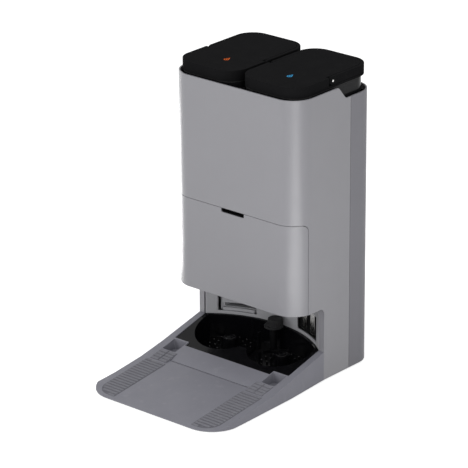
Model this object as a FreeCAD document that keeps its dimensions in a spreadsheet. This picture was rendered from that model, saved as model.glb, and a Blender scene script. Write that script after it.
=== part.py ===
import FreeCAD, Part
import os
import math
import Sketcher

# Docking station of a household robot floor cleaner: it washes the mops, empties the dust
# and refills the robot.  Millimetres, +Z up, front towards -Y, +X to the right seen from the
# front.  The origin is at the bottom centre of the whole station, under its rubber feet.

os.makedirs("parts", exist_ok=True)
doc = FreeCAD.newDocument("DockingStation")
sheet = doc.addObject("Spreadsheet::Sheet", "dims")

DIMENSIONS = {
    # the tower
    "body_width": 300, "body_front": 4, "body_back": 230, "wall": 2.6,
    "front_corner": 45, "back_corner": 42, "foot_height": 1.5,
    "rim_front": 556, "rim_rear": 531, "step_start": 121, "step_end": 142, "seam_back": 156,
    "boss_radius": 5, "screw_radius": 1.6, "screw_head": 4,
    # the opening for the robot
    "pillar_front": 83.3, "overhang": 144, "arch_radius": 12, "pillar_inner": 138.5,
    "bay_arc_centre": -78, "bay_arc_radius": 213, "panel": 3, "flange_top_half_width": 117,
    "window_low": 62, "window_high": 112, "bay_depth": 160,
    # the front door
    "door_top": 320, "door_side": 39, "door_corner": 13, "seam": 0.8,
    "grip_half_width": 27, "grip_height": 7.6, "grip_depth": 15, "grip_wall": 1.6,
    # the ramp
    "ramp_front": -230, "ramp_half_width": 160, "ramp_corner": 58, "lip": 2.6,
    "ramp_top_y": -78, "ramp_top": 19, "cheek_knee_y": -20, "cheek_knee": 31, "cheek_top": 56.5,
    "base_floor": 5, "cheek_inner": 137.3, "pocket_inner": 104, "pocket_outer": 135,
    "pocket_floor": 14, "threshold_half_width": 95,
    "grip_inner": 92, "grip_outer": 139, "grip_front": -220, "grip_back": -80, "grip_thick": 1.2,
    "grip_corner": 30,
    "pad_inner": 95.4, "pad_outer": 135,
    # the wash tray
    "tray_gap": 0.6, "tray_bottom": 6, "tray_front": -13.3, "tray_front_z": 30.6,
    "tray_rear_z": 56.5, "well_x": 62.9, "well_y": 69.4, "well_radius": 66, "well_floor": 11,
    "board_radius": 46, "hub_radius": 18.5, "hub_top": 33, "tray_tongue": 101.7, "tray_back": 140,
    "well_half_width": 131, "tray_wall": 6, "stud_radius": 1.8,
    # the two tanks, their lids and handles
    "tank_pitch": 147.5, "tank_width": 137, "tank_front": 15, "tank_back": 216, "tank_corner": 33,
    "tank_bottom": 324.3, "tank_top": 555.7, "tank_wall": 2.5, "tank_floor": 324,
    "lid_width": 140, "lid_front": 12, "lid_back": 226, "lid_corner": 38,
    "lid_bottom": 557.7, "lid_top": 577.7, "lid_ledge": 562, "lid_inset": 7.4,
    "handle_thick": 7, "handle_notch": 101.5, "handle_axis": 112.5, "pin_radius": 2, "lid_roof": 1.5,
    "hinge_y": 221.5, "hinge_z": 554.5, "hinge_pin": 1.5, "running": 0.05,
    # inside
    "liner_gap": 0.5, "liner_wall": 2, "spigot_y": 185, "spigot_radius": 8,
    "bin_half_width": 118, "bin_bottom": 150, "bin_top": 306, "bin_front": 12, "bin_back": 142.3,
    "duct_x": -84, "duct_radius": 20, "duct_wall": 2.5, "duct_high": 235, "duct_low": 87,
    "fan_x": 60, "fan_z": 235, "fan_radius": 56, "impeller_radius": 48,
    "hose_radius": 4,
}

for row, (alias, number) in enumerate(DIMENSIONS.items(), start=1):
    sheet.set(f"A{row}", alias)
    sheet.set(f"B{row}", str(number))
    sheet.setAlias(f"B{row}", alias)
doc.recompute()


class Size:
    """A length that carries its number and the sheet formula it comes from."""

    def __init__(self, mm, formula):
        self.mm = mm
        self.formula = formula

    def __add__(self, other):
        other = as_size(other)
        return Size(self.mm + other.mm, f"({self.formula} + {other.formula})")

    def __sub__(self, other):
        other = as_size(other)
        return Size(self.mm - other.mm, f"({self.formula} - {other.formula})")

    def __mul__(self, other):
        other = as_size(other)
        return Size(self.mm * other.mm, f"({self.formula} * {other.formula})")

    def __truediv__(self, other):
        other = as_size(other)
        return Size(self.mm / other.mm, f"({self.formula} / {other.formula})")

    def __neg__(self):
        return Size(-self.mm, f"(0 - {self.formula})")

    def __radd__(self, other):
        return as_size(other) + self

    def __rsub__(self, other):
        return as_size(other) - self

    def __rmul__(self, other):
        return as_size(other) * self


def as_size(value):
    """A Size for a plain number, or the Size itself."""
    if isinstance(value, Size):
        return value
    return Size(float(value), f"({float(value)})")


class Dims:
    """Every cell of the sheet as a Size, by its alias."""

    def __init__(self, numbers):
        for alias, number in numbers.items():
            setattr(self, alias, Size(float(number), f"dims.{alias}"))


d = Dims(DIMENSIONS)
half_body = d.body_width / 2
nodes = []


# ---------------------------------------------------------------- helpers: primitives
def bind(obj, **properties):
    """Tie properties, such as Length or Placement_Base_x, to sheet formulas."""
    for name, value in properties.items():
        obj.setExpression(name.replace("_", "."), as_size(value).formula)
    return obj


def box(name, x, y, z):
    """A box between two values along each axis."""
    obj = doc.addObject("Part::Box", name)
    for side, axis, (low, high) in (("Length", "x", x), ("Width", "y", y), ("Height", "z", z)):
        bind(obj, **{side: as_size(high) - low, f"Placement_Base_{axis}": low})
    return obj


TURNS = {"Z": (0, 0, 1, 0), "Y": (1, 0, 0, -90), "X": (0, 1, 0, 90)}


def cylinder(name, radius, length, start, axis="Z"):
    """A cylinder from its start point along +X, +Y or +Z."""
    obj = doc.addObject("Part::Cylinder", name)
    turn = TURNS[axis]
    obj.Placement.Rotation = FreeCAD.Rotation(FreeCAD.Vector(*turn[:3]), turn[3])
    bind(obj, Radius=radius, Height=length)
    for letter, value in zip("xyz", start):
        bind(obj, **{f"Placement_Base_{letter}": value})
    return obj


def fuse(name, *shapes):
    obj = doc.addObject("Part::MultiFuse", name)
    obj.Shapes = list(shapes)
    return obj


def cut(name, base, *tools):
    """The base without its tools; the result has to be smaller than the base."""
    obj = doc.addObject("Part::Cut", name)
    obj.Base = base
    obj.Tool = tools[0] if len(tools) == 1 else fuse(f"{name}_tools", *tools)
    doc.recompute()
    if not obj.Shape.Volume < base.Shape.Volume - 0.01:
        raise RuntimeError(f"{name}: the cut removes nothing")
    return obj


def common(name, *shapes):
    obj = doc.addObject("Part::MultiCommon", name)
    obj.Shapes = list(shapes)
    return obj


def group(name, *shapes):
    """Several separate solids that share one node."""
    obj = doc.addObject("Part::Compound", name)
    obj.Links = list(shapes)
    return obj


def node(obj, name):
    """Names the finished sub-part; its file is written at the end."""
    obj.Label = name
    nodes.append(obj)
    return obj


# ---------------------------------------------------------------- helpers: sketches
def arc_between(before, corner, after, radius):
    """Centre, tangent points and turn of an arc that rounds a corner."""
    toward_before = (before - corner).normalize()
    toward_after = (after - corner).normalize()
    half = toward_before.getAngle(toward_after) / 2
    reach = radius / math.tan(half)
    first = corner + toward_before * reach
    last = corner + toward_after * reach
    centre = corner + (toward_before + toward_after).normalize() * (radius / math.sin(half))
    return centre, first, last


def outline(sketch, corners):
    """A closed loop through corners (x, y) or (x, y, radius), fixed by sheet formulas."""
    points = [FreeCAD.Vector(as_size(c[0]).mm, as_size(c[1]).mm, 0) for c in corners]
    count = len(points)
    starts = list(points)
    ends = list(points)
    arcs = {}
    for i, corner in enumerate(corners):
        if len(corner) < 3:
            continue
        before, here, after = points[i - 1], points[i], points[(i + 1) % count]
        centre, first, last = arc_between(before, here, after, as_size(corner[2]).mm)
        turns_left = (here - before).cross(after - here).z > 0
        low, high = (first, last) if turns_left else (last, first)
        angles = [math.atan2(p.y - centre.y, p.x - centre.x) for p in (low, high)]
        if angles[1] < angles[0]:
            angles[1] += 2 * math.pi
        circle = Part.Circle(centre, FreeCAD.Vector(0, 0, 1), as_size(corner[2]).mm)
        arcs[i] = (sketch.addGeometry(Part.ArcOfCircle(circle, *angles)), turns_left)
        ends[i] = first
        starts[i] = last
    lines = [sketch.addGeometry(Part.LineSegment(starts[i], ends[(i + 1) % count]))
             for i in range(count)]

    def fixed(kind, *args, value):
        index = sketch.addConstraint(Sketcher.Constraint(kind, *args, as_size(value).mm))
        sketch.setExpression(f"Constraints[{index}]", as_size(value).formula)

    for i, corner in enumerate(corners):
        line_in, line_out = lines[i - 1], lines[i]
        if i in arcs:
            arc, turns_left = arcs[i]
            entry, leave = (1, 2) if turns_left else (2, 1)
            point = sketch.addGeometry(Part.Point(points[i]), True)
            sketch.addConstraint(Sketcher.Constraint("PointOnObject", point, 1, line_in))
            sketch.addConstraint(Sketcher.Constraint("PointOnObject", point, 1, line_out))
            sketch.addConstraint(Sketcher.Constraint("Tangent", line_in, 2, arc, entry))
            sketch.addConstraint(Sketcher.Constraint("Tangent", arc, leave, line_out, 1))
            fixed("Radius", arc, value=corner[2])
            fixed("DistanceX", -1, 1, point, 1, value=corner[0])
            fixed("DistanceY", -1, 1, point, 1, value=corner[1])
        else:
            sketch.addConstraint(Sketcher.Constraint("Coincident", line_in, 2, line_out, 1))
            fixed("DistanceX", -1, 1, line_out, 1, value=corner[0])
            fixed("DistanceY", -1, 1, line_out, 1, value=corner[1])


def ring(sketch, x, y, radius):
    """A circle at a point, fixed by sheet formulas."""
    centre = FreeCAD.Vector(as_size(x).mm, as_size(y).mm, 0)
    circle = sketch.addGeometry(Part.Circle(centre, FreeCAD.Vector(0, 0, 1), as_size(radius).mm))
    for kind, args, value in (("Radius", (circle,), radius),
                              ("DistanceX", (-1, 1, circle, 3), x),
                              ("DistanceY", (-1, 1, circle, 3), y)):
        index = sketch.addConstraint(Sketcher.Constraint(kind, *args, as_size(value).mm))
        sketch.setExpression(f"Constraints[{index}]", as_size(value).formula)


def sketch_on(body, plane, name, offset=0.0):
    """A sketch on one of the body's own origin planes, moved along the plane's normal."""
    sketch = body.newObject("Sketcher::SketchObject", name)
    support = next(f for f in body.Origin.OriginFeatures if f.Role == plane)
    sketch.AttachmentSupport = [(support, "")]
    sketch.MapMode = "FlatFace"
    sketch.setExpression("AttachmentOffset.Base.z", as_size(offset).formula)
    return sketch


def body(name):
    return doc.addObject("PartDesign::Body", name)


def pad(target, sketch, length, name, reversed_=False, midplane=False):
    feature = target.newObject("PartDesign::Pad", name)
    feature.Profile = sketch
    feature.setExpression("Length", as_size(length).formula)
    feature.Reversed = reversed_
    feature.Midplane = midplane
    target.Tip = feature
    doc.recompute()
    return feature


def pocket(target, sketch, name, length=None, reversed_=False, midplane=False):
    """A pocket that has to remove material."""
    before = target.Shape.Volume
    feature = target.newObject("PartDesign::Pocket", name)
    feature.Profile = sketch
    if length is None:
        feature.Type = "ThroughAll"
    else:
        feature.setExpression("Length", as_size(length).formula)
    feature.Reversed = reversed_
    feature.Midplane = midplane
    target.Tip = feature
    doc.recompute()
    if not target.Shape.Volume < before - 0.01:
        raise RuntimeError(f"{name}: the pocket removes nothing")
    return feature


def plate(name, corners, low, high, holes=()):
    """A body of one flat outline between two heights, with round holes (x, y, radius)."""
    result = body(name)
    sketch = sketch_on(result, "XY_Plane", f"{name}_outline", low)
    outline(sketch, corners)
    for x, y, radius in holes:
        ring(sketch, x, y, radius)
    pad(result, sketch, as_size(high) - low, f"{name}_pad")
    return result


def upright(name, corners, front, back, holes=()):
    """A body of one outline in X and Z, from a front y to a back y."""
    result = body(name)
    sketch = sketch_on(result, "XZ_Plane", f"{name}_outline", -as_size(front))
    outline(sketch, corners)
    for x, z, radius in holes:
        ring(sketch, x, z, radius)
    pad(result, sketch, as_size(back) - front, f"{name}_pad", reversed_=True)
    return result


def rounded(x, y, front_radius, back_radius=None):
    """Corners of a rectangle with rounded front and back corners."""
    back_radius = front_radius if back_radius is None else back_radius
    (left, right), (front, back) = x, y
    return [(left, front, front_radius), (right, front, front_radius),
            (right, back, back_radius), (left, back, back_radius)]


def sweep(name, route, radius, bend, inner=None):
    """A tube along straight runs joined by tangent arcs of one bend radius."""
    points = [FreeCAD.Vector(*(as_size(v).mm for v in p)) for p in route]
    bend_mm = as_size(bend).mm
    edges = []
    start = points[0]
    for i in range(1, len(points) - 1):
        centre, first, last = arc_between(points[i - 1], points[i], points[i + 1], bend_mm)
        middle = centre + (points[i] - centre).normalize() * bend_mm
        edges.append(Part.LineSegment(start, first).toShape())
        edges.append(Part.Arc(first, middle, last).toShape())
        start = last
    edges.append(Part.LineSegment(start, points[-1]).toShape())
    path = Part.Wire(edges)

    def rod(size):
        circle = Part.makeCircle(as_size(size).mm, points[0], points[1] - points[0])
        return path.makePipeShell([Part.Wire([circle])], True, False)

    shape = rod(radius)
    if inner is not None:
        shape = shape.cut(rod(inner))
    feature = doc.addObject("Part::Feature", name)
    feature.Shape = shape
    feature.Placement = FreeCAD.Placement()
    expected = math.pi * as_size(radius).mm ** 2 * path.Length
    if inner is not None:
        expected -= math.pi * as_size(inner).mm ** 2 * path.Length
    if abs(shape.Volume / expected - 1) > 0.01:
        raise RuntimeError(f"{name}: the tube has the wrong volume")
    return feature


# ---------------------------------------------------------------- ramp and base
def base_section(target, index, y, bottom_half, top_half, top):
    """One upright cross-section of the base: wider at the floor than at its top edge."""
    sketch = sketch_on(target, "XZ_Plane", f"base_section_{index}", -as_size(y))
    outline(sketch, [(-as_size(bottom_half), d.foot_height), (bottom_half, d.foot_height),
                     (top_half, top), (-as_size(top_half), top)])
    return sketch


def make_base():
    """Ramp, side cheeks and the floor pan under the tower, in one moulding."""
    slope_y = -150
    slope_z = d.lip + (d.ramp_top - d.lip) * ((slope_y - d.ramp_front) / (d.ramp_top_y - d.ramp_front))
    base = body("base_body")
    stations = [(d.pillar_front, 150, 150, d.cheek_top), (d.cheek_knee_y, 157.3, 151.7, d.cheek_knee),
                (d.ramp_top_y, 158.3, 153, d.ramp_top), (slope_y, 159.6, 152.5, slope_z),
                (d.ramp_front, d.ramp_half_width, 158, d.lip)]
    sections = [base_section(base, i, *station) for i, station in enumerate(stations)]
    loft = base.newObject("PartDesign::AdditiveLoft", "base_loft")
    loft.Profile = sections[0]
    loft.Sections = sections[1:]
    loft.Ruled = True
    base.Tip = loft
    doc.recompute()

    pan = sketch_on(base, "XY_Plane", "pan_outline", d.foot_height)
    inside = half_body - d.wall - d.liner_gap
    pan_back = d.body_back - d.wall - d.liner_gap
    outline(pan, [(-inside, 80), (inside, 80), (inside, pan_back, 38), (-inside, pan_back, 38)])
    pad(base, pan, d.base_floor - d.foot_height, "pan_pad")

    seat = sketch_on(base, "XY_Plane", "tray_seat", 60)
    seat_step = d.tray_front + 11
    tongue = d.tray_tongue + d.tray_gap
    seat_front = d.tray_front - d.tray_gap
    outline(seat, [(-tongue, seat_front), (tongue, seat_front), (tongue, seat_step),
                   (d.cheek_inner, seat_step), (d.cheek_inner, 90), (-d.cheek_inner, 90),
                   (-d.cheek_inner, seat_step), (-tongue, seat_step)])
    pocket(base, seat, "tray_seat_pocket", 60 - d.base_floor)

    for side in (-1, 1):
        wheel = sketch_on(base, "XY_Plane", f"wheel_pocket_{side + 1}", 60)
        near, far = sorted((side * d.pocket_inner, side * d.pocket_outer), key=lambda v: v.mm)
        outline(wheel, rounded((near, far), (-40, -5), 2))
        pocket(base, wheel, f"wheel_pocket_cut_{side + 1}", 60 - d.pocket_floor)

    step = sketch_on(base, "YZ_Plane", "threshold_step")
    outline(step, [(-79, 18.9), (-62, 20.2), (-46, 25.62), (-46, 40), (-79, 40)])
    pocket(base, step, "threshold_step_cut", 2 * d.threshold_half_width, midplane=True)

    slot = sketch_on(base, "YZ_Plane", "threshold_slot")
    outline(slot, [(-63.2, 14), (-60.8, 14), (-60.8, 24), (-63.2, 24)])
    pocket(base, slot, "threshold_slot_cut", 2 * d.threshold_half_width - 7, midplane=True)

    hollow = sketch_on(base, "YZ_Plane", "underside_hollow")
    outline(hollow, [(-195, 0), (-195, 2.6), (-80, 12.8), (-66, 12.8), (-66, 0)])
    pocket(base, hollow, "underside_hollow_cut", 240, midplane=True)

    plan_half = d.ramp_half_width
    plan = plate("ramp_plan", [(-plan_half, d.ramp_front, d.ramp_corner),
                               (plan_half, d.ramp_front, d.ramp_corner),
                               (plan_half, 240), (-plan_half, 240)], 0, 60)
    return common("base_shape", base, plan)


def sloped_slab(name, x, y, y_low, z_low, y_high, z_high):
    """A thin slab whose top follows the line from (y_low, z_low) to (y_high, z_high)."""
    front, back = (as_size(v) for v in y)
    rise = (as_size(z_high) - z_low) / (as_size(y_high) - y_low)
    z_front = z_low + (front - y_low) * rise
    z_back = z_low + (back - y_low) * rise
    slab = body(name)
    sketch = sketch_on(slab, "YZ_Plane", f"{name}_side", x[0])
    outline(sketch, [(front, z_front - d.grip_thick), (back, z_back - d.grip_thick),
                     (back, z_back), (front, z_front)])
    pad(slab, sketch, as_size(x[1]) - x[0], f"{name}_pad")
    return slab


def make_grips():
    """Soft strips with ribs on the ramp, and small block pads behind them, left and right."""
    strips, pads = [], []
    for label, side in (("left", -1), ("right", 1)):
        near, far = sorted((side * d.grip_inner, side * d.grip_outer), key=lambda v: v.mm)
        slab = sloped_slab(f"grip_slab_{label}", (near, far), (d.grip_front, d.grip_back),
                           d.ramp_front, d.lip, d.ramp_top_y, d.ramp_top)
        left_radius, right_radius = (d.grip_corner, 1) if side < 0 else (1, d.grip_corner)
        plan = plate(f"grip_plan_{label}", [(near, d.grip_front, left_radius),
                                            (far, d.grip_front, right_radius),
                                            (far, d.grip_back), (near, d.grip_back)], 0, 40)
        strips.append(common(f"grip_strip_{label}", slab, plan))
        near, far = sorted((side * d.pad_inner, side * d.pad_outer), key=lambda v: v.mm)
        pads.append(sloped_slab(f"block_pad_{label}", (near, far), (-75, -42),
                                d.ramp_top_y, d.ramp_top, d.cheek_knee_y, d.cheek_knee))
    return group("strip_group", *strips), group("pad_group", *pads)


base_shape = make_base()
strip_group, pad_group = make_grips()
node(cut("base_cut", base_shape, strip_group, pad_group), "base_ramp")
node(strip_group, "ramp_grip_strips")
node(pad_group, "ramp_block_pads")

feet = [cylinder(f"foot_{i}", 9, d.foot_height, (x, y, 0))
        for i, (x, y) in enumerate([(-138, -185), (138, -185), (-143, -40), (143, -40),
                                    (-120, 195), (120, 195)])]
node(group("feet_group", *feet), "rubber_feet")


# ---------------------------------------------------------------- tower housing
def shell_outline(front, back, open_side, corner, wall):
    """A U-shaped wall seen from above, open towards the front or the back."""
    outer = half_body
    inner = half_body - wall
    if open_side == "back":
        return [(-outer, back), (-outer, front, corner), (outer, front, corner), (outer, back),
                (inner, back), (inner, front + wall, corner - wall),
                (-inner, front + wall, corner - wall), (-inner, back)]
    return [(-outer, front), (-inner, front), (-inner, back - wall, corner - wall),
            (inner, back - wall, corner - wall), (inner, front), (outer, front),
            (outer, back, corner), (-outer, back, corner)]


def make_front_housing():
    """Front and side walls, with the pillars beside the robot's bay."""
    housing = body("front_housing_body")
    walls = sketch_on(housing, "XY_Plane", "front_walls", d.foot_height)
    outline(walls, shell_outline(d.body_front, d.seam_back, "back", d.front_corner, d.wall))
    pad(housing, walls, d.rim_front - d.foot_height, "front_walls_pad")

    opening = sketch_on(housing, "YZ_Plane", "bay_and_door_opening")
    door_edge = d.door_side + d.seam / 2
    outline(opening, [(-10, -5), (d.pillar_front, -5), (d.pillar_front, d.overhang, d.arch_radius),
                      (door_edge, d.overhang), (door_edge, d.door_top, d.door_corner),
                      (-10, d.door_top)])
    pocket(housing, opening, "bay_and_door_cut", 400, midplane=True)

    step = sketch_on(housing, "YZ_Plane", "rim_step")
    outline(step, [(90, d.rim_front), (d.step_start, d.rim_front, 10), (d.step_end, d.rim_rear, 10),
                   (170, d.rim_rear), (170, 580), (90, 580)])
    pocket(housing, step, "rim_step_cut", 400, midplane=True)

    for side in (-1, 1):
        flange = sketch_on(housing, "XZ_Plane", f"pillar_flange_{side + 1}", -d.pillar_front)
        edge = side * (half_body - d.wall / 2)
        low, high = d.cheek_top + 0.3, d.overhang
        top_inner = side * d.flange_top_half_width
        outline(flange, [(edge, low), (edge, high), (top_inner, high), (top_inner, high - 0.6),
                         (side * d.pillar_inner, high - 0.6, 20), (side * d.pillar_inner, low)])
        pad(housing, flange, d.wall, f"pillar_flange_pad_{side + 1}", reversed_=True)
    return housing


def make_rear_cover():
    """Back wall with its air slots, the hole for the mains inlet and four screw bosses."""
    cover = body("rear_cover_body")
    walls = sketch_on(cover, "XY_Plane", "rear_walls", d.foot_height)
    outline(walls, shell_outline(d.seam_back + d.seam, d.body_back, "front", d.back_corner, d.wall))
    pad(cover, walls, d.rim_rear - d.foot_height, "rear_walls_pad")

    slot = sketch_on(cover, "XZ_Plane", "air_slot", -d.body_back - 5)
    outline(slot, rounded((-58, 18), (44, 48), 1.9))
    first = pocket(cover, slot, "air_slot_cut", 12, reversed_=True)
    rows = cover.newObject("PartDesign::LinearPattern", "air_slot_rows")
    rows.Originals = [first]
    rows.Direction = (slot, ["V_Axis"])
    rows.Length = 54
    rows.Occurrences = 7
    cover.Tip = rows
    doc.recompute()

    inlet = sketch_on(cover, "XZ_Plane", "inlet_opening", -d.body_back - 5)
    outline(inlet, rounded((-88.2, -57.8), (13.8, 38.2), 3))
    pocket(cover, inlet, "inlet_opening_cut", 12, reversed_=True)
    return cover


node(make_front_housing(), "front_housing")

SCREW_PLACES = [(-100, 22), (100, 22), (-100, 300), (100, 300)]
rear_shell = make_rear_cover()
bosses = [cylinder(f"boss_{i}", d.boss_radius, 14, (x, d.body_back - d.wall - 13, z), "Y")
          for i, (x, z) in enumerate(SCREW_PLACES)]
head_seats = [cylinder(f"head_seat_{i}", d.screw_head + 0.2, 1.7, (x, d.body_back - 1.6, z), "Y")
              for i, (x, z) in enumerate(SCREW_PLACES)]
shank_holes = [cylinder(f"shank_hole_{i}", d.screw_radius, 18, (x, d.body_back - 17, z), "Y")
               for i, (x, z) in enumerate(SCREW_PLACES)]
rear_cover = cut("rear_cover_cut", fuse("rear_cover_fused", rear_shell, *bosses),
                 *head_seats, *shank_holes)
node(rear_cover, "rear_cover")


def make_screw(index, x, z):
    """A pan-head screw from the back, with a six-sided socket in its head."""
    head = cylinder(f"screw_head_{index}", d.screw_head, 1.4, (x, d.body_back - 1.6, z), "Y")
    shank = cylinder(f"screw_shank_{index}", d.screw_radius, 13, (x, d.body_back - 14.6, z), "Y")
    drive = doc.addObject("Part::Prism", f"screw_drive_{index}")
    drive.Polygon = 6
    drive.Placement.Rotation = FreeCAD.Rotation(FreeCAD.Vector(1, 0, 0), -90)
    bind(drive, Circumradius=1.7, Height=2, Placement_Base_x=x,
         Placement_Base_y=d.body_back - 1.2, Placement_Base_z=z)
    return cut(f"screw_{index}", fuse(f"screw_blank_{index}", head, shank), drive)


screws = [make_screw(i, x, z) for i, (x, z) in enumerate(SCREW_PLACES)]
node(group("screw_group", *screws), "housing_screws")


# ---------------------------------------------------------------- bay of the robot
BAY_MIDDLE_Y = 60


def arc_wall(name, inner, outer, x, z, front=BAY_MIDDLE_Y):
    """Part of the upright curved wall behind the robot, kept behind a front plane."""
    ring_out = cylinder(f"{name}_out", outer, as_size(z[1]) - z[0], (0, d.bay_arc_centre, z[0]))
    ring_in = cylinder(f"{name}_in", inner, as_size(z[1]) - z[0] + 2,
                       (0, d.bay_arc_centre, as_size(z[0]) - 1))
    window = box(f"{name}_window", x, (front, d.bay_depth), z)
    return common(name, cut(f"{name}_ring", ring_out, ring_in), window)


ceiling_front = d.body_front + d.wall + d.liner_gap
liner_half = half_body - d.wall - d.liner_gap
ceiling = plate("bay_ceiling", rounded((-liner_half, liner_half), (ceiling_front, 150),
                                       d.front_corner - d.wall - d.liner_gap, 2),
                d.overhang + 1, d.overhang + 1 + d.panel)
wall_outer = d.bay_arc_radius + d.panel
back_wall = arc_wall("bay_back_wall", d.bay_arc_radius, wall_outer,
                     (-d.pillar_inner + 0.2, d.pillar_inner - 0.2), (d.base_floor + 0.3, d.overhang + 2),
                     front=d.pillar_front + d.wall + 0.2)
DUST_WINDOW_X = (-119, -49)
CONTACT_WINDOW_X = (49, 119)
AIR_WINDOW_X, AIR_WINDOW_Z = (-25, 25), (96, 124)
WINDOW_GAP = 0.3


def window_cutter(name, x, z=(d.window_low, d.window_high)):
    """A box that cuts a window through the bay's curved wall."""
    return box(name, x, (BAY_MIDDLE_Y, d.bay_depth), z)


def inside_window(low_high):
    """The two edges of a window, moved inwards by the gap round what sits in it."""
    low, high = low_high
    return low + WINDOW_GAP, high - WINDOW_GAP


windows = [window_cutter("dust_window", DUST_WINDOW_X), window_cutter("contact_window", CONTACT_WINDOW_X),
           window_cutter("air_window", AIR_WINDOW_X, AIR_WINDOW_Z)]
node(cut("bay_liner_cut", fuse("bay_liner_fused", ceiling, back_wall), *windows), "bay_liner")

PORT_X = (-112, -56)
PORT_MOUTH_Z = (69, 78.5)
port_face = d.bay_arc_radius + 8
port_bottom = d.window_low + WINDOW_GAP
port_block = box("port_block", inside_window(DUST_WINDOW_X), (BAY_MIDDLE_Y, 150),
                 inside_window((d.window_low, d.window_high)))
port_skin = common("port_outer", port_block,
                   cut("port_block_ring", cylinder("port_far", 400, 60, (0, d.bay_arc_centre, 60)),
                       cylinder("port_near", port_face, 70, (0, d.bay_arc_centre, 55))))
port_hood = arc_wall("port_hood", d.bay_arc_radius + 1, port_face + 0.5, PORT_X, (79, 88))
port_sill = arc_wall("port_sill", d.bay_arc_radius + 3, port_face + 0.5, PORT_X, (port_bottom, 68))
port_mouth = box("port_mouth", PORT_X, (BAY_MIDDLE_Y, 146), PORT_MOUTH_Z)
port_chamber = box("port_chamber", PORT_X, (132, 146), (PORT_MOUTH_Z[0], 106))
port_hole = cylinder("port_hole", d.duct_radius - d.duct_wall, 20, (d.duct_x, 140, d.duct_low), "Y")
node(cut("dust_port_cut", fuse("dust_port_fused", port_skin, port_hood, port_sill),
         port_mouth, port_chamber, port_hole), "dust_port")

gasket_outer = box("gasket_outer", (-111.8, -56.2), (141, 145.8), (69.2, 105.8))
gasket_inner = box("gasket_inner", (-107, -61), (130, 150), (72, 103))
node(cut("gasket_cut", gasket_outer, gasket_inner), "dust_port_gasket")

CONTACTS = {"left": 70, "right": 97}
CONTACT_PLATE_BACK = 9
holder_plate = arc_wall("contact_plate", d.bay_arc_radius + 6, d.bay_arc_radius + CONTACT_PLATE_BACK,
                        inside_window(CONTACT_WINDOW_X), inside_window((d.window_low, d.window_high)))
contact_slots = [box(f"contact_slot_{label}", (x - 5.5, x + 5.5), (100, 150), (66.5, 107.5))
                 for label, x in CONTACTS.items()]
node(cut("contact_holder_cut", holder_plate, *contact_slots), "contact_holder")


def make_contact(label, x):
    """A sprung metal plate that touches the robot's charging pad; a flange keeps it in."""
    radius = d.bay_arc_radius.mm
    face_y = d.bay_arc_centre + math.sqrt(radius ** 2 - (x - 5) ** 2) + 0.5
    back_radius = radius + CONTACT_PLATE_BACK
    shoulder_y = d.bay_arc_centre + math.sqrt(back_radius ** 2 - (x - 7) ** 2) + 0.3
    bar = box(f"contact_bar_{label}", (x - 5, x + 5), (face_y, shoulder_y + 2), (67, 107))
    shoulder = box(f"contact_shoulder_{label}", (x - 7, x + 7), (shoulder_y, shoulder_y + 2), (66, 108))
    return fuse(f"contact_{label}", bar, shoulder)


for contact_label, contact_x in CONTACTS.items():
    node(make_contact(contact_label, contact_x), f"charge_contact_{contact_label}")

grille_plate = arc_wall("grille_plate", d.bay_arc_radius + 0.4, d.bay_arc_radius + 2.9,
                        inside_window(AIR_WINDOW_X), inside_window(AIR_WINDOW_Z))
grille_slots = [box(f"grille_slot_{i}", (-21, 21), (100, 150), (99 + 5.4 * i, 102 + 5.4 * i))
                for i in range(4)]
node(cut("air_grille_cut", grille_plate, *grille_slots), "air_grille")


# ---------------------------------------------------------------- front door
def make_door():
    """The lower front panel: it wraps round both corners and is held by magnets."""
    door = body("front_door_body")
    walls = sketch_on(door, "XY_Plane", "door_walls", d.overhang + 0.3)
    outline(walls, shell_outline(d.body_front, 60, "back", d.front_corner, d.wall))
    top = d.door_top - d.seam
    pad(door, walls, top - d.overhang - 0.3, "door_walls_pad")
    rear_edge = sketch_on(door, "YZ_Plane", "door_rear_edge")
    side = d.door_side - d.seam / 2
    outline(rear_edge, [(-5, top + 20), (-5, top), (side, top, d.door_corner), (side, 100),
                        (80, 100), (80, top + 20)])
    pocket(door, rear_edge, "door_rear_edge_cut", 400, midplane=True)
    notch = sketch_on(door, "XZ_Plane", "finger_notch", -d.body_front + 5)
    low = top - d.grip_height
    outline(notch, [(-d.grip_half_width, top + 5), (-d.grip_half_width, low, 3),
                    (d.grip_half_width, low, 3), (d.grip_half_width, top + 5)])
    pocket(door, notch, "finger_notch_cut", 10)
    return door


node(make_door(), "front_door")

door_inner = d.body_front + d.wall
grip_low = d.door_top - d.seam - d.grip_height
cup_outer = box("cup_outer", (-d.grip_half_width - 2, d.grip_half_width + 2),
                (door_inner, door_inner + d.grip_depth), (grip_low - d.grip_wall, d.door_top - d.seam))
cup_inner = box("cup_inner", (-d.grip_half_width, d.grip_half_width),
                (door_inner - 1, door_inner + d.grip_depth - d.grip_wall),
                (grip_low, d.door_top - d.seam - d.grip_wall))
node(cut("door_grip_cut", cup_outer, cup_inner), "door_grip")

magnets = [cylinder(f"magnet_{i}", 4, 2, (x, door_inner, z), "Y")
           for i, (x, z) in enumerate([(-100, 160), (100, 160), (-100, 296), (100, 296)])]
node(group("magnet_group", *magnets), "door_magnets")


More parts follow.
